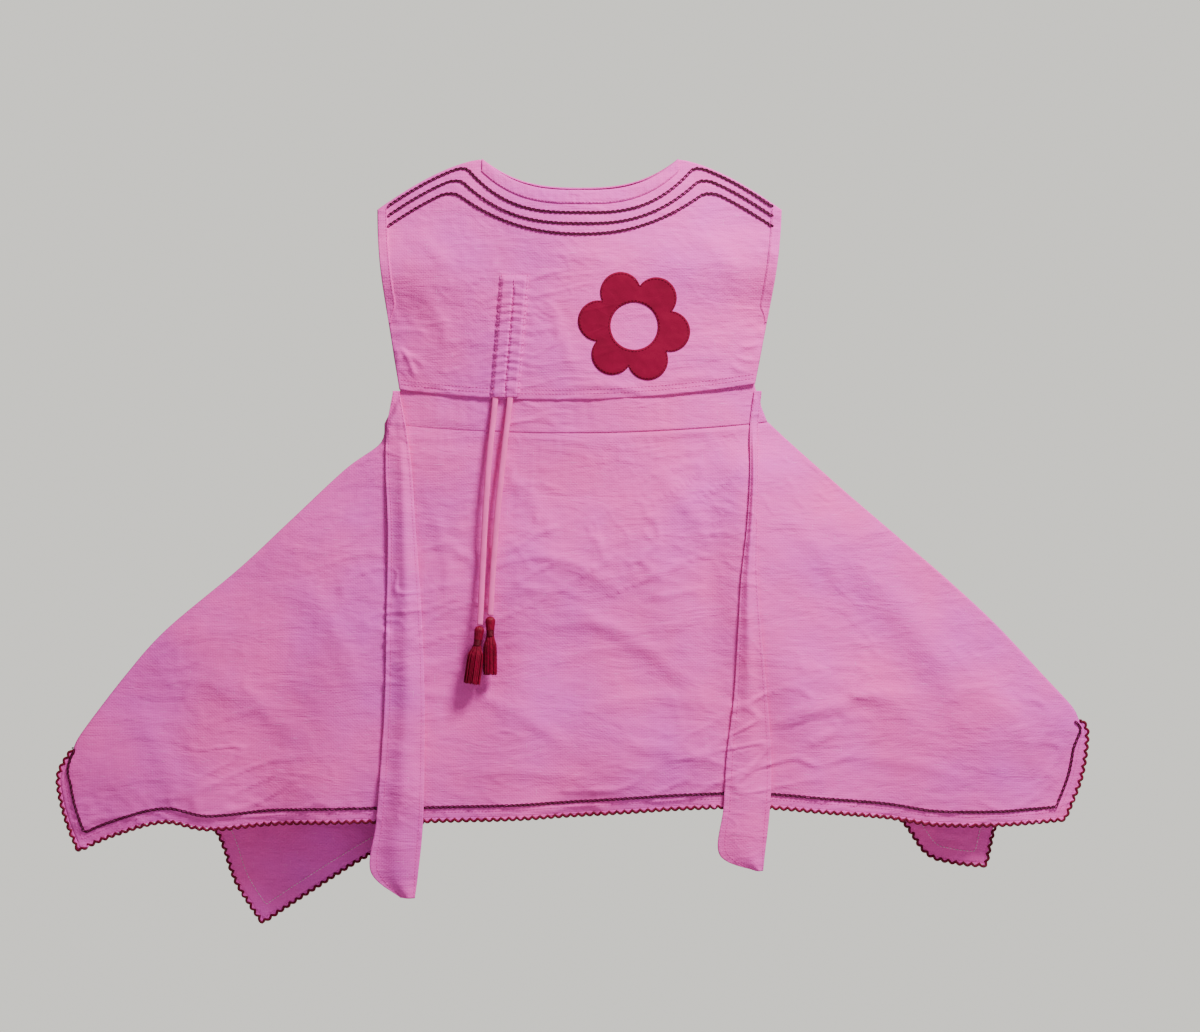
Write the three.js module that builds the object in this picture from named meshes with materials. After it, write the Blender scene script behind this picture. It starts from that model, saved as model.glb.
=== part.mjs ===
// A child's sleeveless play dress with a handkerchief skirt, hanging from its shoulders.
//
// Millimetres, +Z up, front towards -Y. The origin is midway between the two neck points,
// at the level where the shoulders are carried. Each cloth piece is a thin closed sheet that
// follows one of three smooth faces: the bodice, the waistband and the skirt.
import * as THREE from 'three';

// ---- bodice -------------------------------------------------------------------------------
const NECK_HALF_WIDTH = 84;
const FRONT_NECK_DROP = 29;
const BACK_NECK_DROP = 23;
const NECK_ROUNDNESS = 2.8;
const SHOULDER_HALF_WIDTH = 173;
const SHOULDER_DROP = 43;
const UNDERARM_HALF_WIDTH = 162;
const UNDERARM_DROP = 139;
const HEM_HALF_WIDTH = 152;
const BODICE_LENGTH = 194.5; // to the end of the side seam
const HEM_SAG = 12; // the bodice hem hangs this much lower in the middle
const HEM_TILT = 2.5; // and this much lower on the left, higher on the right
const SIDE_SHIFT = 2.5; // the hem hangs this far left of the neck
const BODICE_DEPTH = 22; // from the middle plane to the front and to the back
const ARMHOLE_OPEN = 8.5; // each side of the middle plane

// ---- waist and skirt ----------------------------------------------------------------------
const WAISTBAND_TUCK = 9; // the band reaches this far up inside the bodice
const WAIST_SEAM_DROP = 225; // at the sides
const WAIST_SEAM_SAG = 9;
const SKIRT_HALF_SPREAD = 430; // half the width across the skirt's side folds
const SKIRT_LENGTH = 333; // from the waist seam's ends to the front hem
const HEM_DEPTH = 30; // of the skirt's front and back, from the middle plane

// ---- cloth and trim -----------------------------------------------------------------------
const CLOTH = 1.2;
const TRIM = 0.8; // bindings, facings, casing and applique
const GAP = 0.6; // between two layers that lie on each other
const TRIM_GAP = 1; // under trim that crosses the cloth's curves
const SEAM_GAP = 0.5; // between two pieces that meet edge to edge
const BINDING_WIDTH = 11;
const FACING_WIDTH = 9;
const ROW_WIDTH = 2; // a chain-stitched row
const ROW_HEIGHT = 1.2;
const HEM_ROW_INSET = 10;
const EDGING_WIDTH = 2.6;

// ---- flower -------------------------------------------------------------------------------
const FLOWER_CENTRE = [46, -144];
const FLOWER_HOLE_RADIUS = 20;
const PETAL_RING_RADIUS = 30.6;
const PETAL_RADIUS = 17.4;
const PETALS = 6;
const PETAL_TURN_DEG = -8;

// ---- drawcord, its casing and its tassels ---------------------------------------------------
const CASING_WIDTH = 25;
const CASING_TOP = [-55.4, -101];
const CASING_FOOT = [-63.8, -204];
const CORD_WIDTH = 5;
const CORD_THICKNESS = 2.6;
const CORD_CLEARANCE = 0.5;
const TASSEL_HEAD_RADIUS = 4;
const TASSEL_HEAD_HEIGHT = 11;
const TASSEL_TIE_RADIUS = 3.4;
const TASSEL_TIE_HEIGHT = 5;
const TASSEL_FOOT_RADIUS = 6.5;
const TASSEL_THREADS = 34;

// ---- sashes -------------------------------------------------------------------------------
const SASH_CLOTH = 1.4;
const SASH_ROOT_CLEARANCE = 0.9; // from the waistband
const SASH_CLEARANCE = 3; // from the skirt, away from the root

const PINK = 0xd9749b;
const MAROON = 0x6d1230;
const CRIMSON = 0xa31f3d;
const RED = 0x9a0f26;

const clamp = (value, low, high) => Math.min(high, Math.max(low, value));
const mix = (a, b, t) => a + (b - a) * t;
const smooth = (t) => t * t * (3 - 2 * t);
const flat = (x, z) => new THREE.Vector2(x, z);
const curve = (points) => new THREE.SplineCurve(points.map(([x, z]) => flat(x, z)));

// Straight-line interpolation of x over falling z, through a list of [x, z] points.
function acrossAt(points, z) {
  const below = points.findIndex((point) => point[1] <= z);
  if (below === 0) return points[0][0];
  if (below < 0) return points[points.length - 1][0];
  const [x0, z0] = points[below - 1];
  const [x1, z1] = points[below];
  return mix(x0, x1, (z0 - z) / (z0 - z1));
}

// ---- the bodice's outline and face ----------------------------------------------------------
function shoulderZ(x) {
  const out = (Math.abs(x) - NECK_HALF_WIDTH) / (SHOULDER_HALF_WIDTH - NECK_HALF_WIDTH);
  return out < 0 ? 0 : -SHOULDER_DROP * out ** 1.5;
}

function necklineZ(x, drop) {
  const out = Math.abs(x) / NECK_HALF_WIDTH;
  return out > 1 ? shoulderZ(x) : -drop * (1 - out ** NECK_ROUNDNESS);
}

const bodiceHemZ = (u) => -(BODICE_LENGTH + HEM_SAG * (1 - u * u)) + HEM_TILT * u;

function bodiceHalfWidth(z) {
  if (z > -UNDERARM_DROP) {
    const down = clamp((-z - SHOULDER_DROP) / (UNDERARM_DROP - SHOULDER_DROP), 0, 1);
    return mix(SHOULDER_HALF_WIDTH, UNDERARM_HALF_WIDTH, down ** 1.6);
  }
  const down = clamp((-z - UNDERARM_DROP) / (BODICE_LENGTH - UNDERARM_DROP), 0, 1);
  return mix(UNDERARM_HALF_WIDTH, HEM_HALF_WIDTH, down);
}

const bodiceShift = (z) => -SIDE_SHIFT * clamp(-z / BODICE_LENGTH, 0, 1);

// A point of the bodice: u from -1 at its left edge to 1, v from 0 at the top to 1 at the hem.
function bodicePoint(u, v, neckDrop) {
  const top = necklineZ(u * SHOULDER_HALF_WIDTH, neckDrop);
  const z = mix(top, bodiceHemZ(u), v);
  const sideZ = mix(-SHOULDER_DROP, -BODICE_LENGTH, v);
  const half = bodiceHalfWidth(sideZ);
  return [u * half + bodiceShift(sideZ), z];
}

// How full the bodice is, from 0 at its seams to 1 in the middle.
function bodiceFullness(x, z) {
  const half = bodiceHalfWidth(z);
  const across = clamp((x - bodiceShift(z)) / half, -1, 1);
  const neckRise = Math.max(0, NECK_HALF_WIDTH - Math.abs(x)) * 0.3;
  const below = clamp((shoulderZ(x) + neckRise - z) / 110, 0, 1);
  return Math.cos((across * Math.PI) / 2) * Math.sin((below * Math.PI) / 2);
}

const SEAM_HALF = (CLOTH + 2 * 0.4) / 2; // cloth middle to middle plane at a closed seam
const LAYER_STEP = CLOTH + 2 * GAP; // from one cloth layer's middle to the next
const bandTopZ = -(BODICE_LENGTH - WAISTBAND_TUCK);

// Distance of the bodice's cloth from the middle plane, the same at front and back.
function bodiceDepth(x, z) {
  const overBand = smooth(clamp((-z - UNDERARM_DROP) / (-bandTopZ - UNDERARM_DROP), 0, 1));
  const edge = SEAM_HALF + LAYER_STEP * overBand;
  const half = bodiceHalfWidth(z);
  const side = Math.abs(clamp((x - bodiceShift(z)) / half, -1, 1));
  const arm = clamp((-z - SHOULDER_DROP) / (UNDERARM_DROP - SHOULDER_DROP), 0, 1);
  const armhole = ARMHOLE_OPEN * Math.sin(Math.PI * arm) ** 2 * side ** 3;
  return edge + (BODICE_DEPTH - edge) * bodiceFullness(x, z) + armhole;
}

// ---- the skirt's outline and face -----------------------------------------------------------
// Across is a distance from the middle line on a skirt of the standard spread, down is from
// the ends of the waist seam on a skirt of the standard length.
const STANDARD_SPREAD = 430;
const STANDARD_LENGTH = 333;
const WAIST_HALF_WIDTH = 164;
const skirtPoint = ([across, down]) => {
  const flare = (SKIRT_HALF_SPREAD - STANDARD_SPREAD) / STANDARD_SPREAD;
  const beyondWaist = Math.sign(across) * Math.max(0, Math.abs(across) - WAIST_HALF_WIDTH);
  return [across + beyondWaist * flare, -WAIST_SEAM_DROP - (down * SKIRT_LENGTH) / STANDARD_LENGTH];
};

const WAIST_LEFT = [-167.5, 1];
const WAIST_RIGHT = [160, -1];
const leftFold = [WAIST_LEFT, [-171, 18], [-201, 40], [-247, 83], [-292, 125], [-354, 177],
  [-389, 216], [-427, 266], [-434, 281]].map(skirtPoint);
const rightFold = [WAIST_RIGHT, [187, 24], [229, 61], [271, 97], [314, 134], [356, 173],
  [398, 218], [421, 243], [427, 255]].map(skirtPoint);
const frontLeftSide = [[-434, 281], [-444, 298], [-445, 312], [-439, 337], [-428, 364]];
const frontHem = [[-428, 364], [-399, 351], [-355, 339], [-315, 345], [-247, 339], [-131, 336],
  [-18, 332], [95, 325], [161, 325], [254, 334], [299, 341], [342, 342], [384, 340], [413.5, 338]];
const frontRightSide = [[427, 255], [432.5, 266], [427.5, 303], [413.5, 338]];
const backLeftSide = [[-434, 281], [-400, 296], [-352, 318], [-314, 349], [-296, 395], [-275, 430]];
const backHem = [[-275, 430], [-222, 395], [-175, 367], [-127, 340], [-20, 318], [140, 314],
  [230, 324], [274, 338], [299, 369], [318, 376], [347, 378.5]];
const backRightSide = [[427, 255], [408, 290], [375, 318], [356, 344], [347, 378.5]];

const sideOf = (fold, points) => [...fold, ...points.slice(1).map(skirtPoint)];
const leftOutline = sideOf(leftFold, frontLeftSide.slice(0, 3));
const rightOutline = sideOf(rightFold, frontRightSide.slice(0, 2));

// The band's sides, from inside the bodice down to the waist seam.
const BAND_LEFT = [[-151, bandTopZ], [-153, -BODICE_LENGTH - 4], [-158, -BODICE_LENGTH - 13],
  skirtPoint(WAIST_LEFT)];
const BAND_RIGHT = [[146.5, bandTopZ], [149, -BODICE_LENGTH - 2], skirtPoint(WAIST_RIGHT)];

// Distance of the waistband's or skirt's cloth from the middle plane.
function skirtDepth(x, z) {
  const left = acrossAt([...BAND_LEFT, ...leftOutline.slice(1)], z);
  const right = acrossAt([...BAND_RIGHT, ...rightOutline.slice(1)], z);
  const share = clamp((x - left) / (right - left), 0, 1);
  const down = smooth(clamp((-z - WAIST_SEAM_DROP) / SKIRT_LENGTH, 0, 1));
  const full = mix(BODICE_DEPTH - LAYER_STEP, HEM_DEPTH, down);
  return SEAM_HALF + (full - SEAM_HALF) * Math.sin(Math.PI * share);
}

const waistSeamZ = (share) => {
  const ends = mix(skirtPoint(WAIST_LEFT)[1], skirtPoint(WAIST_RIGHT)[1], share);
  return ends - WAIST_SEAM_SAG * 4 * share * (1 - share);
};

// ---- solids -------------------------------------------------------------------------------
// A closed sheet. pointAt(i, j) gives the middle of the cloth at column i and row j, columns
// running to the right and rows downwards as seen from the front.
function sheet(columns, rows, thickness, pointAt) {
  const points = [];
  for (const side of [-1, 1]) {
    for (let j = 0; j <= rows; j += 1) {
      for (let i = 0; i <= columns; i += 1) {
        const [x, y, z] = pointAt(i, j);
        points.push(x, y + (side * thickness) / 2, z);
      }
    }
  }
  const near = (i, j) => j * (columns + 1) + i;
  const far = (i, j) => near(i, j) + (columns + 1) * (rows + 1);
  const faces = [];
  const quad = (a, b, c, d) => faces.push(a, b, c, a, c, d);
  for (let j = 0; j < rows; j += 1) {
    for (let i = 0; i < columns; i += 1) {
      quad(near(i, j), near(i, j + 1), near(i + 1, j + 1), near(i + 1, j));
      quad(far(i, j), far(i + 1, j), far(i + 1, j + 1), far(i, j + 1));
    }
  }
  for (let i = 0; i < columns; i += 1) {
    quad(near(i, 0), near(i + 1, 0), far(i + 1, 0), far(i, 0));
    quad(near(i + 1, rows), near(i, rows), far(i, rows), far(i + 1, rows));
  }
  for (let j = 0; j < rows; j += 1) {
    quad(near(0, j + 1), near(0, j), far(0, j), far(0, j + 1));
    quad(near(columns, j), near(columns, j + 1), far(columns, j + 1), far(columns, j));
  }
  const geometry = new THREE.BufferGeometry();
  geometry.setAttribute('position', new THREE.Float32BufferAttribute(points, 3));
  geometry.setIndex(faces);
  geometry.computeVertexNormals();
  return geometry;
}

// The same line moved sideways by a distance, mitred at its corners. Positive is to the right
// of the direction of travel when seen from the front.
function besideLine(line, distance) {
  return line.map((point, i) => {
    const before = line[Math.max(i - 1, 0)];
    const after = line[Math.min(i + 1, line.length - 1)];
    const into = i > 0 ? point.clone().sub(before).normalize() : after.clone().sub(point).normalize();
    const out = i < line.length - 1 ? after.clone().sub(point).normalize() : into;
    const along = into.clone().add(out).normalize();
    const reach = distance / Math.max(0.5, along.dot(into));
    return flat(point.x + along.y * reach, point.y - along.x * reach);
  });
}

// A flat ribbon that lies along a line, between two distances to its right.
function ribbon(line, nearDistance, farDistance, thickness, depthAt) {
  const edges = [besideLine(line, nearDistance), besideLine(line, farDistance)];
  return sheet(line.length - 1, 1, thickness, (i, j) => {
    const { x, y: z } = edges[j][i];
    return [x, depthAt(x, z), z];
  });
}

// Points along curves joined end to end; each curve has its own count of steps.
function joinedLine(parts) {
  const line = [];
  parts.forEach(([path, steps, backwards], part) => {
    for (let k = part === 0 ? 0 : 1; k <= steps; k += 1) {
      line.push(path.getPointAt(backwards ? 1 - k / steps : k / steps));
    }
  });
  return line;
}

const dress = new THREE.Group();

function add(name, geometry, colour, roughness = 0.9) {
  const material = new THREE.MeshStandardMaterial({ color: colour, roughness, metalness: 0 });
  const mesh = new THREE.Mesh(geometry, material);
  mesh.name = name;
  dress.add(mesh);
  return mesh;
}

// Front pieces lie on the -Y side, back pieces on the +Y side.
const HALVES = [['front', -1, FRONT_NECK_DROP], ['back', 1, BACK_NECK_DROP]];

// ---- bodice pieces --------------------------------------------------------------------------
function bodicePanel(side, neckDrop) {
  const columns = 18;
  const rows = 11;
  return sheet(columns, rows, CLOTH, (i, j) => {
    const [x, z] = bodicePoint(-1 + (2 * i) / columns, j / rows, neckDrop);
    return [x, side * bodiceDepth(x, z), z];
  });
}

// Cloth laid on the bodice, outside it, or inside it when the layer is -1.
function onBodice(side, thickness, layer = 1, gap = GAP) {
  const step = layer * (CLOTH / 2 + gap + thickness / 2);
  return (x, z) => side * (bodiceDepth(x, z) + step);
}

function neckBinding(side, neckDrop) {
  const steps = 20;
  const line = [];
  for (let i = 0; i <= steps; i += 1) {
    const x = mix(-NECK_HALF_WIDTH + 2, NECK_HALF_WIDTH - 2, i / steps);
    line.push(flat(x, necklineZ(x, neckDrop)));
  }
  return ribbon(line, 0.5, BINDING_WIDTH, TRIM, onBodice(side, TRIM));
}

function armholeFacing(side, hand) {
  const steps = 9;
  return sheet(1, steps, TRIM, (i, j) => {
    const down = mix(0.2, 0.8, j / steps);
    const z = -mix(SHOULDER_DROP, UNDERARM_DROP, down);
    const inset = hand < 0 ? i : 1 - i;
    const x = hand * (bodiceHalfWidth(z) - 1 - inset * FACING_WIDTH) + bodiceShift(z);
    return [x, onBodice(side, TRIM, -1, GAP + 0.3)(x, z), z];
  });
}

// Three rows follow the shoulder and then dip round the neck. Each has its distance below
// the shoulder, its corner and its lowest point.
const YOKE_ROWS = [
  ['upper', 3.2, [96.5, -8], -47.6, 2.9],
  ['middle', 11.5, [101, -19], -57, 2.6],
  ['lower', 20.5, [104.5, -30.5], -66, 2.2],
];

function yokeRow(side, belowShoulder, corner, lowest, roundness) {
  const outer = SHOULDER_HALF_WIDTH - 10;
  const shoulderSteps = 6;
  const neckSteps = 18;
  const line = [];
  for (let i = 0; i < shoulderSteps; i += 1) {
    const x = mix(-outer, -corner[0], i / shoulderSteps);
    const drop = shoulderZ(x) - belowShoulder;
    line.push(flat(x, mix(drop, Math.min(drop, corner[1] + 4), i / shoulderSteps)));
  }
  for (let i = 0; i <= neckSteps; i += 1) {
    const share = mix(-1, 1, i / neckSteps);
    line.push(flat(share * corner[0], mix(lowest, corner[1], Math.abs(share) ** roundness)));
  }
  for (let i = shoulderSteps - 1; i >= 0; i -= 1) {
    line.push(flat(-line[i].x, line[i].y));
  }
  const lay = onBodice(side, ROW_HEIGHT, 1, TRIM_GAP);
  return ribbon(line, -ROW_WIDTH / 2, ROW_WIDTH / 2, ROW_HEIGHT, lay);
}

function flower() {
  const around = 60;
  const ringDepth = onBodice(-1, TRIM);
  const outerRadius = (angle) => {
    const pitch = (2 * Math.PI) / PETALS;
    const start = THREE.MathUtils.degToRad(PETAL_TURN_DEG);
    const off = THREE.MathUtils.euclideanModulo(angle - start + pitch / 2, pitch) - pitch / 2;
    const across = PETAL_RING_RADIUS * Math.sin(off);
    return PETAL_RING_RADIUS * Math.cos(off) + Math.sqrt(PETAL_RADIUS ** 2 - across ** 2);
  };
  const points = [];
  for (const side of [-1, 1]) {
    for (let ring = 0; ring < 2; ring += 1) {
      for (let k = 0; k < around; k += 1) {
        const angle = THREE.MathUtils.degToRad(PETAL_TURN_DEG) + (2 * Math.PI * k) / around;
        const radius = ring ? outerRadius(angle) : FLOWER_HOLE_RADIUS;
        const x = FLOWER_CENTRE[0] + radius * Math.cos(angle);
        const z = FLOWER_CENTRE[1] + radius * Math.sin(angle);
        points.push(x, ringDepth(x, z) + (side * TRIM) / 2, z);
      }
    }
  }
  const at = (side, ring, k) => (side * 2 + ring) * around + (k % around);
  const faces = [];
  const quad = (a, b, c, d) => faces.push(a, b, c, a, c, d);
  for (let k = 0; k < around; k += 1) {
    quad(at(0, 0, k), at(0, 1, k), at(0, 1, k + 1), at(0, 0, k + 1));
    quad(at(1, 0, k), at(1, 0, k + 1), at(1, 1, k + 1), at(1, 1, k));
    quad(at(0, 1, k), at(1, 1, k), at(1, 1, k + 1), at(0, 1, k + 1));
    quad(at(0, 0, k), at(0, 0, k + 1), at(1, 0, k + 1), at(1, 0, k));
  }
  const geometry = new THREE.BufferGeometry();
  geometry.setAttribute('position', new THREE.Float32BufferAttribute(points, 3));
  geometry.setIndex(faces);
  geometry.computeVertexNormals();
  return geometry;
}

// ---- drawcord casing ------------------------------------------------------------------------
const CHANNEL_HEIGHT = CORD_THICKNESS + 2 * CORD_CLEARANCE;
const casingMiddle = (down) => [
  mix(CASING_TOP[0], CASING_FOOT[0], down),
  mix(CASING_TOP[1], CASING_FOOT[1], down),
];

// A strip stitched down both edges and its middle, so that it forms two channels, which meet
// at the closed top, where the middle stitching stops.
const MERGED_ROWS = 1;

function casing() {
  const columns = 12;
  const rows = 9;
  const lay = onBodice(-1, TRIM);
  return sheet(columns, rows, TRIM, (i, j) => {
    const across = i / columns;
    const [middle, z] = casingMiddle(j / rows);
    const x = middle + (across - 0.5) * CASING_WIDTH;
    const channels = j > MERGED_ROWS ? 2 : 1;
    const rise = clamp(2.2 * Math.abs(Math.sin(channels * Math.PI * across)), 0, 1);
    return [x, lay(x, z) - rise * CHANNEL_HEIGHT, z];
  });
}

// A cord of oval section through points given as [x, y, z].
function cord(points, steps) {
  const sides = 8;
  const section = new THREE.Shape();
  for (let k = 0; k < sides; k += 1) {
    const angle = (2 * Math.PI * (k + 0.5)) / sides;
    const depth = (CORD_THICKNESS / 2) * Math.cos(angle);
    const width = (CORD_WIDTH / 2) * Math.sin(angle);
    if (k === 0) section.moveTo(depth, width);
    else section.lineTo(depth, width);
  }
  section.closePath();
  const path = new THREE.CatmullRomCurve3(points.map((point) => new THREE.Vector3(...point)));
  return new THREE.ExtrudeGeometry(section, { steps, extrudePath: path, curveSegments: 1 });
}

// The legs run down inside the channels, leave them at the bodice hem and slant outwards to
// their tassels, which rest against the skirt. A point is [x, z], with its distance in front
// of the skirt where it hangs free.
const cordRest = (x, z) => -(bodiceDepth(x, z) + CLOTH / 2 + CORD_CLEARANCE + GAP / 2
  + CORD_THICKNESS / 2);
const LEFT_LEG = [[-65.5, -136], [-68.5, -170], [-71.6, -204], [-74.5, -232, 4.9],
  [-77.3, -262, 6.4], [-79.8, -302, 7.9], [-81.6, -340, 9.2], [-82.8, -370, 10], [-84, -397, 10.8]];
const RIGHT_LEG = [[-53, -136], [-56, -170], [-59.1, -204], [-62.3, -232, 5],
  [-65.6, -262, 6.1], [-69.6, -302, 7.4], [-72.6, -340, 8.4], [-74.4, -370, 9], [-75.4, -389, 9.5]];

function legPoints(leg) {
  return leg.map(([x, z, away]) => (away === undefined
    ? [x, cordRest(x, z), z]
    : [x, -(skirtDepth(x, z) + CLOTH / 2 + away), z]));
}

// The hidden bend that joins the two legs at the closed top of the casing.
function cordTurn() {
  const [middle, top] = casingMiddle(0);
  const half = CASING_WIDTH / 4 - 1;
  const points = [];
  for (let k = 0; k <= 6; k += 1) {
    const angle = (Math.PI * k) / 6;
    const x = middle - half * Math.cos(angle);
    const z = top - 8 + 2 * Math.sin(angle);
    points.push([x, cordRest(x, z), z]);
  }
  return points;
}

// ---- tassels ----------------------------------------------------------------------------------
function lathe(profile) {
  const geometry = new THREE.LatheGeometry(profile.map(([r, z]) => flat(r, z)), 10);
  geometry.rotateX(Math.PI / 2);
  return geometry;
}

// The head's top is half a ball, round the point that the tassel swings about.
function headDome() {
  const steps = 4;
  return Array.from({ length: steps + 1 }, (_, k) => {
    const angle = (Math.PI / 2) * (k / steps);
    return [TASSEL_HEAD_RADIUS * Math.cos(angle), TASSEL_HEAD_RADIUS * (Math.sin(angle) - 1)];
  });
}

function tassel(name, leg, leanDeg) {
  const [x, y, z] = leg[leg.length - 1];
  const tieTop = -TASSEL_HEAD_HEIGHT - 2 * SEAM_GAP;
  const threadTop = tieTop - TASSEL_TIE_HEIGHT - SEAM_GAP;
  const head = lathe([[0, -TASSEL_HEAD_HEIGHT], [TASSEL_TIE_RADIUS, -TASSEL_HEAD_HEIGHT],
    ...headDome()]);
  const tie = lathe([[0, -TASSEL_TIE_HEIGHT], [TASSEL_TIE_RADIUS, -TASSEL_TIE_HEIGHT],
    [TASSEL_TIE_RADIUS, 0], [0, 0]]);
  const threads = lathe([[0, -TASSEL_THREADS], [TASSEL_FOOT_RADIUS * 0.9, -TASSEL_THREADS],
    [TASSEL_FOOT_RADIUS, -TASSEL_THREADS * 0.7], [TASSEL_TIE_RADIUS, 0], [0, 0]]);
  const pieces = [['head', head, -SEAM_GAP, RED], ['tie', tie, tieTop, MAROON],
    ['threads', threads, threadTop, RED]];
  for (const [piece, geometry, top, colour] of pieces) {
    geometry.translate(0, 0, top);
    geometry.rotateY(THREE.MathUtils.degToRad(leanDeg));
    geometry.translate(x, y, z);
    add(`tassel_${name}_${piece}`, geometry, colour);
  }
}

// ---- waistband and skirt ------------------------------------------------------------------------
function waistband(side) {
  const columns = 14;
  const rows = 3;
  return sheet(columns, rows, CLOTH, (i, j) => {
    const share = i / columns;
    const z = mix(bandTopZ, waistSeamZ(share) + SEAM_GAP / 2, j / rows);
    const left = acrossAt(BAND_LEFT, z);
    const right = acrossAt(BAND_RIGHT, z);
    const x = mix(left, right, share);
    return [x, side * skirtDepth(x, z), z];
  });
}

// A four-sided patch between a waist seam, two sides and a hem. Each side is a fold, for the
// first rows, and then a free edge.
const HEM_COLUMNS = 24;

function skirtPanel(side, leftSide, hem, rightSide, foldRows, sideRows) {
  const columns = HEM_COLUMNS;
  const rows = foldRows + sideRows;
  const folds = [curve(leftFold), curve(rightFold)];
  const edges = [curve(leftSide.map(skirtPoint)), curve(rightSide.map(skirtPoint))];
  const hemCurve = curve(hem.map(skirtPoint));
  const sideAt = (which, j) => (j <= foldRows
    ? folds[which].getPointAt(j / foldRows)
    : edges[which].getPointAt((j - foldRows) / sideRows));
  const topAt = (share) => {
    const x = mix(leftFold[0][0], rightFold[0][0], share);
    return flat(x, waistSeamZ(share) - SEAM_GAP / 2);
  };
  return sheet(columns, rows, CLOTH, (i, j) => {
    const u = i / columns;
    const v = j / rows;
    const left = sideAt(0, j);
    const right = sideAt(1, j);
    const ends = [topAt(0), topAt(1), hemCurve.getPointAt(0), hemCurve.getPointAt(1)];
    const blend = (axis) => mix(left[axis], right[axis], u)
      + mix(topAt(u)[axis], hemCurve.getPointAt(u)[axis], v)
      - mix(mix(ends[0][axis], ends[1][axis], u), mix(ends[2][axis], ends[3][axis], u), v);
    const x = blend('x');
    const z = blend('y');
    return [x, side * skirtDepth(x, z), z];
  });
}

// The free edge of one half of the skirt, from the left fold down, along the hem and up again.
function skirtEdge(leftSide, hem, rightSide, sideRows) {
  return joinedLine([
    [curve(leftSide.map(skirtPoint)), sideRows, false],
    [curve(hem.map(skirtPoint)), HEM_COLUMNS, false],
    [curve(rightSide.map(skirtPoint)), sideRows, true],
  ]);
}

function onSkirt(side, thickness) {
  return (x, z) => side * (skirtDepth(x, z) + CLOTH / 2 + GAP + thickness / 2);
}

// ---- sashes -----------------------------------------------------------------------------------
// Left and right edges of each sash, top to bottom, as [left x, right x, z].
const LEFT_SASH = [[-160.5, -154, -201.5], [-165, -148.5, -228], [-166, -143.5, -262],
  [-163.5, -139.5, -316], [-164, -134, -387], [-165, -131, -457], [-168, -131, -513],
  [-172, -132, -564], [-176.5, -136, -605], [-164.5, -139, -627]];
const RIGHT_SASH = [[148.5, 155, -201.5], [145, 152, -228], [144, 151, -274], [141, 150, -316],
  [136, 150, -359], [133.5, 153, -401], [130, 158, -457], [124, 161.5, -505],
  [121, 160.5, -550], [117.5, 156, -590], [148, 154.5, -604]];

function sash(edges) {
  const columns = 3;
  const rows = 16;
  const leftEdge = curve(edges.map(([left, , z]) => [left, z]));
  const rightEdge = curve(edges.map(([, right, z]) => [right, z]));
  return sheet(columns, rows, SASH_CLOTH, (i, j) => {
    const left = leftEdge.getPoint(j / rows);
    const right = rightEdge.getPoint(j / rows);
    const x = mix(left.x, right.x, i / columns);
    const z = mix(left.y, right.y, i / columns);
    const away = mix(SASH_ROOT_CLEARANCE, SASH_CLEARANCE, clamp((-z - WAIST_SEAM_DROP) / 60, 0, 1));
    return [x, -(skirtDepth(x, z) + CLOTH / 2 + away + SASH_CLOTH / 2), z];
  });
}

// ---- assembly -----------------------------------------------------------------------------------
for (const [half, side, neckDrop] of HALVES) {
  add(`bodice_${half}`, bodicePanel(side, neckDrop), PINK);
  add(`neck_binding_${half}`, neckBinding(side, neckDrop), PINK);
  for (const [hand, sign] of [['left', -1], ['right', 1]]) {
    add(`armhole_facing_${half}_${hand}`, armholeFacing(side, sign), PINK);
  }
  for (const [row, below, corner, lowest, roundness] of YOKE_ROWS) {
    add(`yoke_row_${half}_${row}`, yokeRow(side, below, corner, lowest, roundness), MAROON);
  }
  add(`waistband_${half}`, waistband(side), PINK);
}
add('flower_applique', flower(), CRIMSON);
add('drawcord_casing', casing(), PINK);
add('drawcord_turn', cord(cordTurn(), 8), PINK);
for (const [name, leg, leanDeg] of [['left', LEFT_LEG, 8], ['right', RIGHT_LEG, 0]]) {
  const points = legPoints(leg);
  add(`drawcord_${name}`, cord(points, 24), PINK);
  tassel(name, points, leanDeg);
}

const SKIRT_HALVES = [
  ['front', -1, frontLeftSide, frontHem, frontRightSide, 8, 4],
  ['back', 1, backLeftSide, backHem, backRightSide, 7, 5],
];
for (const [half, side, left, hem, right, foldRows, sideRows] of SKIRT_HALVES) {
  const edge = skirtEdge(left, hem, right, sideRows);
  const rowInset = [-HEM_ROW_INSET - ROW_WIDTH / 2, -HEM_ROW_INSET + ROW_WIDTH / 2];
  add(`skirt_${half}`, skirtPanel(side, left, hem, right, foldRows, sideRows), PINK);
  add(`hem_row_${half}`, ribbon(edge, ...rowInset, ROW_HEIGHT, onSkirt(side, ROW_HEIGHT)), MAROON);
  const edgingDepth = (x, z) => side * skirtDepth(x, z);
  add(`hem_edging_${half}`, ribbon(edge, SEAM_GAP, SEAM_GAP + EDGING_WIDTH, CLOTH, edgingDepth), MAROON);
}
add('sash_left', sash(LEFT_SASH), PINK);
add('sash_right', sash(RIGHT_SASH), PINK);

export default dress;
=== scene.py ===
"""Makes the cloth, thread and cords of a child's handkerchief-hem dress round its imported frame."""
import math

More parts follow.
